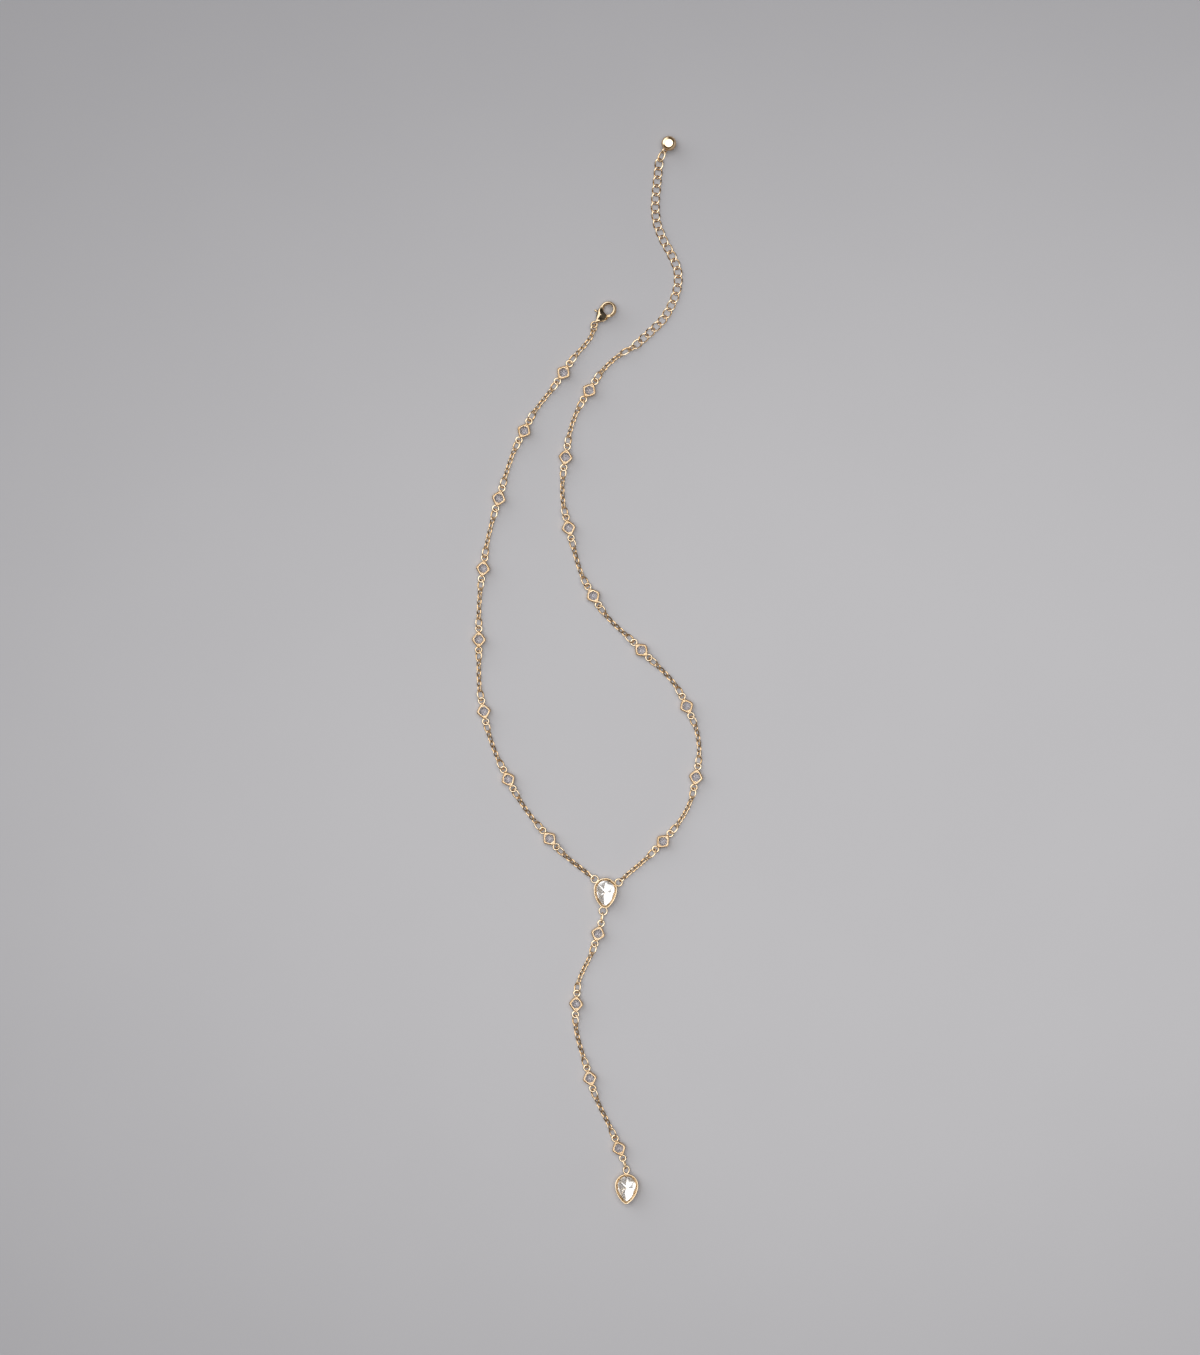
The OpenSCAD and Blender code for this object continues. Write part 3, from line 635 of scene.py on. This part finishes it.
def clasp_painted_shade_material(looks):
    """Painted shade on the clasp's groove and left edge: near-black gold, a little dull."""
    material, tree, place = new_material("painted_clasp_shade")
    clouds = noise(tree, place, 1.5, 3.0)
    finish_material(tree, {
        "Base Color": clouds.mix(looks.clasp_painted_shade, looks.clasp_painted_shade_deep),
        "Metallic": 1.0,
        "Roughness": 0.16 + clouds * 0.10,
    })
    return material


def stone_material(looks):
    """Clear cut stone with a trace of cloud in it."""
    material, tree, place = new_material("cut_clear_glass")
    cloud = noise(tree, place, 1.6).step(0.3, 0.8)
    finish_material(tree, {
        "Base Color": cloud.mix(looks.stone, looks.stone_cloud),
        "Roughness": 0.01 + cloud * 0.03,
        "IOR": 1.42,
        "Transmission Weight": 1.0,
        "Alpha": 0.4,
    })
    return material


def crown_material(looks):
    """The clear top of a foiled stone."""
    material, tree, place = new_material("foiled_crown")
    cloud = noise(tree, place, 1.2).step(0.3, 0.8)
    finish_material(tree, {
        "Base Color": cloud.mix(looks.crown, looks.crown_cloud),
        "Roughness": 0.01 + cloud * 0.02,
        "IOR": 1.16,
        "Transmission Weight": 1.0,
    })
    return material


def foil_material(looks):
    """Silver foil behind a stone, a little warm and dull in patches."""
    material, tree, place = new_material("silver_foil")
    patches = noise(tree, place, 0.8).step(0.45, 0.75)
    finish_material(tree, {
        "Base Color": patches.mix(looks.foil, looks.foil_warm),
        "Metallic": 0.55,
        "Roughness": 0.03 + patches * 0.06,
    })
    return material


def floor_material(looks):
    """Matt grey surface with a very faint mottle, and a painted falloff of light: darker farther from a
    point near the necklace.
    """
    material, tree, place = new_material("grey_surface")
    mottle = noise(tree, place, 0.02, 4.0).step(0.3, 0.7)
    stretch = {0: place, 1: (0.75, 1.1, 1.0)}
    squashed = make_node(tree, "ShaderNodeVectorMath", stretch, operation="MULTIPLY")
    # Painted falloff of light: distance from a point near the necklace darkens the floor
    away = {0: squashed, 1: (75.0, -48.0, 0.0)}
    far = make_node(tree, "ShaderNodeVectorMath", away, "Value", operation="DISTANCE")
    finish_material(tree, {
        "Base Color": (far.step(60.0, 460.0) + mottle * 0.02).mix(looks.floor, looks.floor_painted_falloff),
        "Roughness": 0.75 + mottle * 0.05,
        "Specular IOR Level": 0.15,
    })
    return material


def shared(name, maker):
    """The material of this name, made once."""
    return bpy.data.materials.get(name) or maker(bpy.context.scene.necklace_looks)


def gold():
    """The gold of the chains and the ball."""
    return shared("pale_gold", gold_material)


def rim_gold():
    """The gold of the settings."""
    return shared("rim_gold", rim_gold_material)


def setting_patches(s):
    """A small setting about its own centre, with y along the strand: a lozenge rim with a rounded top and
    a lip inside it over the stone, a seat ring turned about z, two webs, two loops and their solder."""
    wide, long = s.setting_wide / MM, s.setting_long / MM
    high, wall = s.setting_high / MM, s.setting_wall / MM
    side_r, end_r, long_r = 0.95, 0.8, 12.0
    rim = arc_line(lozenge(wide / 2, long / 2, side_r, end_r, long_r), 8)
    # Inset from the rim's outside and height, from its foot outside to its foot inside
    profile = np.array([
        (0.07, 0.0), (0.0, 0.09), (0.0, high - 1.1), (0.06, high - 0.6), (0.15, high - 0.16),
        (0.19, high - 0.05), (0.26, high), (0.33, high - 0.04), (0.38, high - 0.13), (0.41, high - 0.40),
        (0.44, high - 0.64), (0.50, high - 0.64), (0.53, high - 0.38), (0.58, high - 0.27),
        (0.63, high - 0.27), (0.69, high - 0.37), (0.72, high - 0.50), (0.68, high - 0.62),
        (0.50, high - 0.76), (0.42, high - 0.84), (0.40, high - 1.1), (wall, high - 1.4), (wall, 0.09),
        (wall - 0.07, 0.0),
    ])
    r = s.stone_r / MM
    # Radius and height
    seat = [
        (1.88, 0.12), (1.88, 1.28), (1.82, 1.40), (r + 0.14, 1.40), (r + 0.10, 1.30), (r + 0.10, 1.12),
        (r - 0.18, 1.08), (r - 0.18, 0.22), (r - 0.10, 0.10),
    ]
    patches = [skin(along_line(rim, profile)), spun(seat, 48)]
    web_x, web_low, web_top = 0.65, 0.06, 0.80
    for side in (-1, 1):
        near, far = sorted((side * (r - 0.06), side * (long / 2 - wall + 0.15)))
        web = np.array([
            [(x, y, z) for x, y in ((-web_x, near), (web_x, near), (web_x, far), (-web_x, far))]
            for z in (web_low, web_top)
        ])
        patches += [skin(web, round_rows=False, smooth=False), cover(web[0]), cover(web[1])]
    radius, wire = s.loop_r / MM, s.loop_wire / MM
    solder = (0.42, 0.13, 0.30)
    for side in (-1, 1):
        patches.append(torus((0, side * s.loop_at / MM, s.loop_z / MM), radius, wire, 36, 10))
        patches += blob((0, side * (long / 2 + 0.02), s.loop_z / MM), solder, 8, 14)
    return patches


def brilliant(r, girdle, girdle_top, table_r, table_z, culet_z):
    """A round brilliant: a table of eight sides, star, kite and upper girdle facets over the girdle,
    and mains and lower girdle facets under it. The kites' side corners lie in the planes of the kites."""
    main = np.radians(45.0 * np.arange(8))
    half = main + np.radians(22.5)
    cos = math.cos(math.radians(22.5))

    def ring(angle, radius, z):
        return np.stack([radius * np.cos(angle), radius * np.sin(angle), np.full(len(angle), z)], axis=-1)

    star_r = (table_r + r) / 2 + 0.02 * r
    star_z = girdle_top + (table_z - girdle_top) * (r - star_r * cos) / (r - table_r)
    low_r = 0.36 * r
    low_z = culet_z + (girdle - culet_z) * low_r * cos / r
    points = np.vstack([
        ring(main, table_r, table_z),
        ring(half, star_r, star_z),
        ring(main, r, girdle_top),
        ring(half, r, girdle_top),
        ring(main, r, girdle),
        ring(half, r, girdle),
        ring(half, low_r, low_z),
        [(0, 0, culet_z)],
    ])
    k = np.arange(8)
    n = (k + 1) % 8
    b = (k - 1) % 8
    # Where each ring of points starts: table, stars, the girdle's top and its foot in two parts each, the
    # back's corners and the culet
    t, s, g, h, u, v, w, c = 0, 8, 16, 24, 32, 40, 48, 56
    return [
        cover(points[:8]),
        facets(points, np.stack([t + k, s + k, t + n], axis=1)),
        facets(points, np.stack([t + k, s + b, g + k, s + k], axis=1)),
        facets(points, np.stack([s + k, g + k, h + k], axis=1)),
        facets(points, np.stack([s + k, h + k, g + n], axis=1)),
        facets(points, np.stack([g + k, u + k, v + k, h + k], axis=1)),
        facets(points, np.stack([h + k, v + k, u + n, g + n], axis=1)),
        facets(points, np.stack([w + k, u + k, v + k], axis=1)),
        facets(points, np.stack([w + k, v + k, u + n], axis=1)),
        facets(points, np.stack([np.full(8, c), w + b, u + k, w + k], axis=1)),
    ]


# Radius of a pear's long sides, the point that its fans and facets meet at, and the girdle's inset, in mm
PEAR_SIDE_R = 8.0
PEAR_MIDDLE = np.array([0.0, -0.9])
GIRDLE_INSET = 0.90


def pear_rim_patches(s, tip_r, loops):
    """A pear setting about its round end's centre, with the tip towards -y: a rim with a rounded top, a
    ledge under the stone, a closed back, and loops given by x, y, radius and how narrow they are. The rim's
    rows are inset and height."""
    wide, long, high, wall = s.pear_wide / MM, s.pear_long / MM, s.pear_high / MM, s.pear_wall / MM
    r = wide / 2
    line = arc_line(pear(r, long - r, tip_r, PEAR_SIDE_R), 24)
    top = rounded_top(0.33, high, 0.12, 8)
    rows = along_line(line, np.vstack([
        [(0.55, 0.03), (0.20, 0.0), (0.06, 0.06), (0.0, 0.22), (0.0, 1.2)],
        top,
        [(0.35, high - 0.24), (0.41, high - 0.36), (0.50, high - 0.44), (0.58, high - 0.52),
         (0.66, high - 0.62), (0.88, high - 0.90), (GIRDLE_INSET, 1.62), (wall + 0.30, 1.60),
         (wall + 0.34, 0.62)],
    ]))
    patches = [skin(rows, round_rows=False)]
    patches.append(tent(rows[0], (*PEAR_MIDDLE, 0.10)))
    patches.append(tent(rows[-1], (*PEAR_MIDDLE, 0.60)))
    for x, y, radius, narrow in loops:
        patches.append(torus((x, y, s.loop_z / MM), radius, s.ring_wire / MM, 44, 12, narrow=narrow))
    return patches


def pear_stone_patches(s, tip_r):
    """A pear brilliant: the girdle follows the rim's inside, and the facets meet at points moved from it
    towards the middle by set shares. The crown is clear and the back is foiled."""
    r = s.pear_wide / MM / 2
    points, out = arc_line(pear(r, s.pear_long / MM - r, tip_r, PEAR_SIDE_R), 60)
    points = points - out * GIRDLE_INSET
    middle = PEAR_MIDDLE
    table_z, star_z, girdle_top, girdle_low, culet_z = 3.13, 2.76, 2.14, 2.02, 1.48
    # The girdle's 32 corners lie at even turns, seen from the middle, from the tip round
    spoke = np.arctan2(points[:, 1] - middle[1], points[:, 0] - middle[0])
    order = np.argsort(spoke)
    angle = np.radians(-90 + 11.25 * np.arange(32))
    angle = np.where(angle > np.pi, angle - 2 * np.pi, angle)
    x = np.interp(angle, spoke[order], points[order, 0], period=2 * np.pi)
    y = np.interp(angle, spoke[order], points[order, 1], period=2 * np.pi)
    edge = np.stack([x, y], axis=-1)

    def ring(share, z, part):
        xy = middle + (edge[part::4] - middle) * share
        return np.column_stack([xy, np.full(8, z)])

    # The back's corners rise and fall in turn. One at the upper right and two at the lower left are deeper
    back = ring(0.44, 1.89, 2)
    back[:, 2] += 0.07 * np.cos(np.pi * np.arange(8))
    back[3, 2] = 1.70
    back[6:8] = ring(0.38, 1.30, 2)[6:8]
    points = np.vstack(
        [ring(0.60, table_z, 0), ring(0.80, star_z, 2)]
        + [ring(1.0, girdle_top, part) for part in range(4)]
        + [ring(1.0, girdle_low, part) for part in range(4)]
        + [back, [(middle[0], middle[1], culet_z)]]
    )
    k = np.arange(8)
    n = (k + 1) % 8
    b = (k - 1) % 8
    # Where each ring of points starts: table, stars, the girdle's top and its foot in four parts each, the
    # back's corners and the culet
    t, st, g, g1, h, g2, u, u1, v, u2, w, c = 8 * np.arange(12)
    corners = [
        [(t + k, st + k, t + n), (t + k, st + b, g + k), (t + k, g + k, st + k)],
        [(st + k, g + k, g1 + k, h + k), (st + k, h + k, g2 + k, g + n)],
        [(g + k, u + k, u1 + k, g1 + k), (g1 + k, u1 + k, v + k, h + k)],
        [(h + k, v + k, u2 + k, g2 + k), (g2 + k, u2 + k, u + n, g + n)],
        [(w + k, u + k, u1 + k, v + k), (w + k, v + k, u2 + k, u + n)],
        [(np.full(8, c), w + b, u + k), (np.full(8, c), u + k, w + k)],
    ]
    patches = [cover(points[:8])]
    for row, faces in enumerate(corners):
        patches += [facets(points, np.stack(face, axis=1), int(row > 3)) for face in faces]
    return patches


def smooth_table(rows, steps):
    """A smooth line through the rows of a table: between rows 1 and 2 of any four it is
    ((2 b) + (c - a) t + (2 a - 5 b + 4 c - d) t^2 + (3 b - a - 3 c + d) t^3) / 2."""
    rows = np.asarray(rows, float)
    ends = np.vstack([2 * rows[0] - rows[1], rows, 2 * rows[-1] - rows[-2]])
    a, b, c, d = ends[:-3], ends[1:-2], ends[2:-1], ends[3:]
    t = (np.arange(steps) / steps)[:, None]
    parts = [
        (2 * b[i] + (c[i] - a[i]) * t + (2 * a[i] - 5 * b[i] + 4 * c[i] - d[i]) * t**2
         + (3 * b[i] - a[i] - 3 * c[i] + d[i]) * t**3) / 2
        for i in range(len(a))
    ]
    return np.vstack(parts + [rows[-1:]])


def pillow(left, right, low, high, power, sides=20, dent=None):
    """A closed bar between two edge lines. Its section is |across|^power + |up|^power = 1, a rounded box,
    with heights from low to high. Dent sinks the top, not at its spine and most in the groove beside it. The
    groove and the left edge get the second material, a near-black painted shade."""
    a = 2 * np.pi * np.arange(sides) / sides
    across = np.cos(a)
    up = np.sign(np.sin(a)) * np.maximum(1 - np.abs(across) ** power, 0) ** (1 / power)
    share = (1 + across) / 2
    xy = left[:, None] * (1 - share)[:, None] + right[:, None] * share[:, None]
    middle = (low + high) / 2
    z = middle[:, None] + (high - low)[:, None] / 2 * up
    if dent is not None:
        z = z - dent[:, None] * np.interp(share, GROOVE_AT, GROOVE_DEEP) * (up > 0.01)
    points = np.concatenate([xy, z[..., None]], axis=-1)
    side = skin(points, round_rows=False)
    if dent is not None:
        groove_from, groove_to, left_edge, least_dent = 0.34, 0.93, 0.13, 0.12
        middle = (share + np.roll(share, -1)) / 2
        # The groove and the left edge are painted dark, as shade
        sunk = (middle > groove_from) & (middle < groove_to) | (middle < left_edge)
        dark = sunk & (up + np.roll(up, -1) > 0.5)
        side = side._replace(material=(dark[None] & (dent[:-1, None] > least_dent)).astype(int).ravel())
    return [side, cover(points[0]), cover(points[-1])]


def rotation(axis, degrees):
    """The matrix that turns a column about x, y or z."""
    a = math.radians(degrees)
    c, s = math.cos(a), math.sin(a)
    i, j = {"x": (1, 2), "y": (2, 0), "z": (0, 1)}[axis]
    m = np.eye(3)
    m[i, i], m[i, j], m[j, i], m[j, j] = c, -s, s, c
    return m


# How the clasp lies, and the middle of the lever's pin in the clasp's own directions, in mm
CLASP_TURN = rotation("z", -39.6) @ rotation("y", -18) @ rotation("x", 3)
PIVOT = np.array([-0.7, -2.9])
# Where the clasp's top sinks from its spine into the groove: share of its width, share of the depth
GROOVE_AT = (0.0, 0.24, 0.34, 0.44, 0.56, 0.90, 1.0)
GROOVE_DEEP = (0.10, 0.0, 0.18, 0.82, 1.0, 0.50, 0.55)


def clasp_body_patches(s):
    """The clasp in its own directions: a rounded hook round the eye, two cheeks with the lever's slot
    between them, a closed foot, the rivet's heads and the base ring."""
    inner, outer = s.eye_r / MM, (s.eye_r + s.claw_wide) / MM
    half = s.clasp_high / MM / 2
    share = np.linspace(0, 1, 60)
    # The hook's start is rounded: it grows from 0.78 of its thickness to all of it, along a quarter circle
    round_off = np.sqrt(1 - (1 - np.clip(share * 22, 0, 1)) ** 2) * 0.22 + 0.78
    wide = (outer - inner) / 2 * round_off
    mid = (outer + inner) / 2
    outer_start, inner_start, end = -31, -15, 186
    edges = []
    for start, radius in ((outer_start, mid + wide), (inner_start, mid - wide)):
        angle = np.radians(start + (end - start) * share)
        edges.append(np.stack([np.cos(angle), np.sin(angle)], axis=-1) * radius[:, None])
    hook = pillow(edges[0], edges[1], -half * round_off, half * round_off, 2.1)
    rows = smooth_table(CLASP_ROWS, 6)
    left, right = rows[:, :2], rows[:, 2:]
    count = len(rows)
    n = np.arange(count)
    # The body thins towards its foot, and its groove fades in below the hook and out above the foot
    narrow = 1 - 0.22 * np.clip((n - 40) / 20, 0, 1)
    dent = 0.50 * np.clip((n - 4) / 12, 0, 1) * np.clip((count - 14 - n) / 10, 0, 1)
    high = half * narrow
    # Rows first to last are two cheeks round the lever's slot. The upper cheek also fills part of the slot,
    # because the groove sinks its top
    slot = 0.5
    first, last = 14, 44
    root = slice(0, first + 1)
    body = pillow(left[root], right[root], -high[root], high[root], 2.6, 40, dent[root])
    foot = pillow(left[last:], right[last:], -high[last:], high[last:], 2.6, 40, dent[last:])
    part = slice(first, last + 1)
    flat = np.full(last + 1 - first, slot)
    upper = pillow(left[part], right[part], flat - 0.3, high[part], 3.0, 40, dent[part])
    lower = pillow(left[part], right[part], -high[part], -flat, 4.4)
    patches = hook + body + foot + upper + lower
    rivet_head, rivet_sink = (0.38, 0.38, 0.24), 0.16
    for side in (-1, 1):
        patches += blob((*PIVOT, side * (half - rivet_sink)), rivet_head, 10, 24)
    pin_r, pin_sink = 0.33, 0.2
    around = 2 * np.pi * np.arange(20) / 20
    circle = PIVOT + pin_r * np.stack([np.cos(around), np.sin(around)], axis=-1)
    post = np.array([[(*xy, z) for xy in circle] for z in (pin_sink - half, half - pin_sink)])
    patches.append(skin(post, round_rows=False))
    base_ring_at, base_ring_r, base_ring_wire = (-0.55, -6.75, 0), 1.0, 0.56
    patches.append(torus(base_ring_at, base_ring_r, base_ring_wire, 44, 12))
    return patches


def clasp_lever_patches(s):
    """The lever: a rounded plate from the thumb tab over the pin to the end of its arm."""
    rows = smooth_table(LEVER_ROWS, 5)
    half = 0.41
    high = np.full(len(rows), half)
    return pillow(rows[:, :2], rows[:, 2:], -high, high, 5.0)


def ball_patches(s):
    """The ball with a slightly flattened face, and its loop. A point at a share c of the way into the cap
    round the face's direction is pressed in by c squared times the press."""
    r = s.ball_r / MM
    # The loop stands out from the ball along the turn's x, and spin turns its own plane
    turn = rotation("z", -122) @ rotation("y", 18)
    spin = turn @ rotation("x", -45)
    centre = np.array([*BALL_AT, r])
    patches = blob(centre, (r, r, r), 48, 96)
    face = np.array([-0.14, 0.15, 0.97])
    face /= np.linalg.norm(face)
    press, cap_from = 0.62, 0.4
    for i, patch in enumerate(patches):
        out = (patch.points - centre) / r
        cap = np.clip((out @ face - cap_from) / (1 - cap_from), 0, 1)
        patches[i] = patch._replace(points=patch.points - (press * cap**2)[:, None] * face)
    loop_r, loop_wire, gap = 0.82, 0.45, 0.55
    patches.append(torus(centre + turn @ np.array([r + gap, 0, 0]), loop_r, loop_wire, 40, 12, spin=spin))
    return patches


def placed_by(name):
    """Centre, x and y directions of a CAD node that lies flat, with y along it."""
    points, triangles = node_mesh(name)
    centre, axes, _ = pose_of(points, triangles)
    along = np.array([axes[0][0], axes[0][1], 0.0])
    along /= np.linalg.norm(along)
    across = np.array([along[1], -along[0], 0.0])
    return np.array([centre[0], centre[1], 0.0]), across, along


def run(operator):
    """Runs an operator and stops if it didn't finish."""
    if operator() != {"FINISHED"}:
        raise RuntimeError("an operator did not finish")


class NECKLACE_OT_chains(bpy.types.Operator):
    """Makes the links of the chains, the extender and the loose rings"""

    bl_idname = "necklace.chains"
    bl_label = "Make the chains"

    def execute(self, context):
        s = context.scene.necklace_sizes
        for name in ("left_chain", "right_chain", "drop_chain", "clasp_ring", "charm_ring"):
            mesh_object(name + "_links", chain_patches(name), [gold()], "necklace", [name])
        centres, axes, sizes = loose_parts("extender_chain")
        links = curb_links(centres, axes, sizes, s.curb_twist / MM, s.curb_wire / MM, 36, 10)
        mesh_object("extender_links", [links], [gold()], "necklace", ["extender_chain"])
        return {"FINISHED"}


class NECKLACE_OT_settings(bpy.types.Operator):
    """Makes the twenty small settings"""

    bl_idname = "necklace.settings"
    bl_label = "Make the small settings"

    def execute(self, context):
        patches = setting_patches(context.scene.necklace_sizes)
        for name in STATIONS:
            node = "setting_" + name
            there = moved(patches, *placed_by(node))
            mesh_object("small_" + node, there, [rim_gold()], "necklace", [node])
        return {"FINISHED"}


class NECKLACE_OT_stones(bpy.types.Operator):
    """Cuts the twenty small stones"""

    bl_idname = "necklace.stones"
    bl_label = "Cut the small stones"

    def execute(self, context):
        r = context.scene.necklace_sizes.stone_r / MM
        patches = brilliant(
            r - 0.01, girdle=1.36, girdle_top=1.46, table_r=0.58 * r, table_z=1.95, culet_z=0.34
        )
        material = shared("cut_clear_glass", stone_material)
        for name in STATIONS:
            node = "stone_" + name
            there = moved(patches, *placed_by("setting_" + name))
            mesh_object("cut_" + node, there, [material], "necklace", [node])
        return {"FINISHED"}


class NECKLACE_OT_pears(bpy.types.Operator):
    """Makes the two pear settings and cuts their stones"""

    bl_idname = "necklace.pears"
    bl_label = "Make the pears"

    def execute(self, context):
        s = context.scene.necklace_sizes
        r = s.pear_wide / MM / 2
        low = s.pear_long / MM - r
        ear_out, ear_r = 4.95, 1.16
        ear_turns = (math.radians(30), math.radians(138))
        ears = [(ear_out * math.cos(a), ear_out * math.sin(a), ear_r, 1.0) for a in ear_turns]
        tip_loop = (-0.5, -low - 1.0, 1.3, 1.0)
        bail = (-0.28, r + 1.2, 1.25, 0.75)
        kinds = (
            ("centre", s.centre_tip_r / MM, CENTRE_AT, ears + [tip_loop]),
            ("pendant", s.pendant_tip_r / MM, PENDANT_AT, [bail]),
        )
        crown = shared("foiled_crown", crown_material)
        foil = shared("silver_foil", foil_material)
        turn = rotation("z", PEARS_TURN)
        for name, tip_r, place, loops in kinds:
            rim = moved(pear_rim_patches(s, tip_r, loops), place, turn[:, 0], turn[:, 1])
            mesh_object(name + "_rim", rim, [rim_gold()], "necklace", [name + "_setting"], 50)
            stone = moved(pear_stone_patches(s, tip_r), place, turn[:, 0], turn[:, 1])
            node = name + "_stone"
            mesh_object("cut_" + node, stone, [crown, foil], "necklace", [node])
        return {"FINISHED"}


class NECKLACE_OT_clasp(bpy.types.Operator):
    """Makes the clasp's body and its lever"""

    bl_idname = "necklace.clasp"
    bl_label = "Make the clasp"

    def execute(self, context):
        s = context.scene.necklace_sizes
        axes = CLASP_TURN.T
        body = moved(clasp_body_patches(s), CLASP_AT, *axes)
        # The clasp gets the darker, shaded copy of the gold
        metal = shared("clasp_shaded_gold", clasp_shaded_gold_material)
        # The second material is the painted shade of the clasp's groove and left edge
        materials = [metal, shared("painted_clasp_shade", clasp_painted_shade_material)]
        mesh_object("lobster_body", body, materials, "necklace", ["clasp_body"], 40)
        lever = moved(clasp_lever_patches(s), CLASP_AT, *axes)
        mesh_object("lobster_lever", lever, [metal], "clasp_lever", ["clasp_lever"], 40)
        return {"FINISHED"}


class NECKLACE_OT_ball(bpy.types.Operator):
    """Makes the polished ball at the end of the extender"""

    bl_idname = "necklace.ball"
    bl_label = "Make the ball"

    def execute(self, context):
        patches = ball_patches(context.scene.necklace_sizes)
        mesh_object("polished_ball", patches, [gold()], "necklace", ["end_ball"])
        return {"FINISHED"}


class NECKLACE_OT_stage(bpy.types.Operator):
    """Sets the grey surface, the soft light and the camera"""

    bl_idname = "necklace.stage"
    bl_label = "Set the stage"

    def execute(self, context):
        scene = context.scene
        looks = scene.necklace_looks
        far = 1.6
        mesh = bpy.data.meshes.new("grey_surface")
        around = [(-far, -far, 0), (far, -far, 0), (far, far, 0), (-far, far, 0)]
        mesh.from_pydata(around, [], [(0, 1, 2, 3)])
        mesh.materials.append(shared("grey_surface", floor_material))
        floor = bpy.data.objects.new("grey_surface", mesh)
        scene.collection.objects.link(floor)

        world = bpy.data.worlds.new("soft_room")
        world.use_nodes = True
        tree = world.node_tree
        tree.nodes.clear()
        # Light by direction: a soft box overhead, a glow on the left, a low light on the right, and a bridge
        # between the box and the glow
        way = make_node(tree, "ShaderNodeTexCoord", {}, "Generated")
        over = facing(tree, way, (-0.08, 0.10, 0.99)).step(0.79, 0.90)
        glow = facing(tree, way, (-0.81, 0.58, 0.0)).step(0.60, 0.90)
        height = facing(tree, way, (0.0, 0.0, 1.0))
        low = height.step(0.02, 0.08) * (1.0 - height.step(0.16, 0.28))
        front = facing(tree, way, (0.86, -0.50, 0.0)).step(0.50, 0.85) * low
        bridge = facing(tree, way, (-0.62, 0.45, 0.64)).step(0.84, 0.95)
        sides = glow * looks.glow_share + front * looks.front_share + bridge * looks.bridge_share
        shade = over.mix(sides.mix(looks.sky_dark, looks.sky_bright), looks.sky_bright)
        light = make_node(tree, "ShaderNodeBackground", {"Color": shade, "Strength": looks.sky_power})
        make_node(tree, "ShaderNodeOutputWorld", {"Surface": light})
        scene.world = world

        data = bpy.data.cameras.new("camera")
        data.sensor_fit = "VERTICAL"
        data.sensor_height = 36.0
        data.lens = data.sensor_height * looks.view_high / looks.view_span
        data.clip_start = 0.01
        data.clip_end = 10.0
        camera = bpy.data.objects.new("camera", data)
        camera.location = (looks.view_x, -looks.view_y, looks.view_high)
        scene.collection.objects.link(camera)
        scene.camera = camera
        scene.view_settings.view_transform = "Standard"
        scene.view_settings.look = "None"
        return {"FINISHED"}


class NECKLACE_PT_panel(bpy.types.Panel):
    """The necklace's steps and sizes"""

    bl_idname = "NECKLACE_PT_panel"
    bl_label = "Necklace"
    bl_space_type = "VIEW_3D"
    bl_region_type = "UI"
    bl_category = "Necklace"

    def draw(self, context):
        column = self.layout.column()
        for operator in OPERATORS:
            column.operator(operator.bl_idname)
        for group in (context.scene.necklace_sizes, context.scene.necklace_looks):
            # The first two properties of any group are its type and its name
            for name in group.bl_rna.properties.keys()[2:]:
                column.prop(group, name)


OPERATORS = (
    NECKLACE_OT_chains,
    NECKLACE_OT_settings,
    NECKLACE_OT_stones,
    NECKLACE_OT_pears,
    NECKLACE_OT_clasp,
    NECKLACE_OT_ball,
    NECKLACE_OT_stage,
)
CLASSES = (NECKLACE_PG_sizes, NECKLACE_PG_looks) + OPERATORS + (NECKLACE_PT_panel,)


def register():
    for kind in CLASSES:
        bpy.utils.register_class(kind)
    bpy.types.Scene.necklace_sizes = PointerProperty(type=NECKLACE_PG_sizes)
    bpy.types.Scene.necklace_looks = PointerProperty(type=NECKLACE_PG_looks)


def unregister():
    del bpy.types.Scene.necklace_looks
    del bpy.types.Scene.necklace_sizes
    for kind in reversed(CLASSES):
        bpy.utils.unregister_class(kind)


def main():
    """Registers the add-on and makes every piece and the stage."""
    register()
    for step in ("chains", "settings", "stones", "pears", "clasp", "ball", "stage"):
        run(getattr(bpy.ops.necklace, step))
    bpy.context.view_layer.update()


if __name__ == "__main__":
    main()
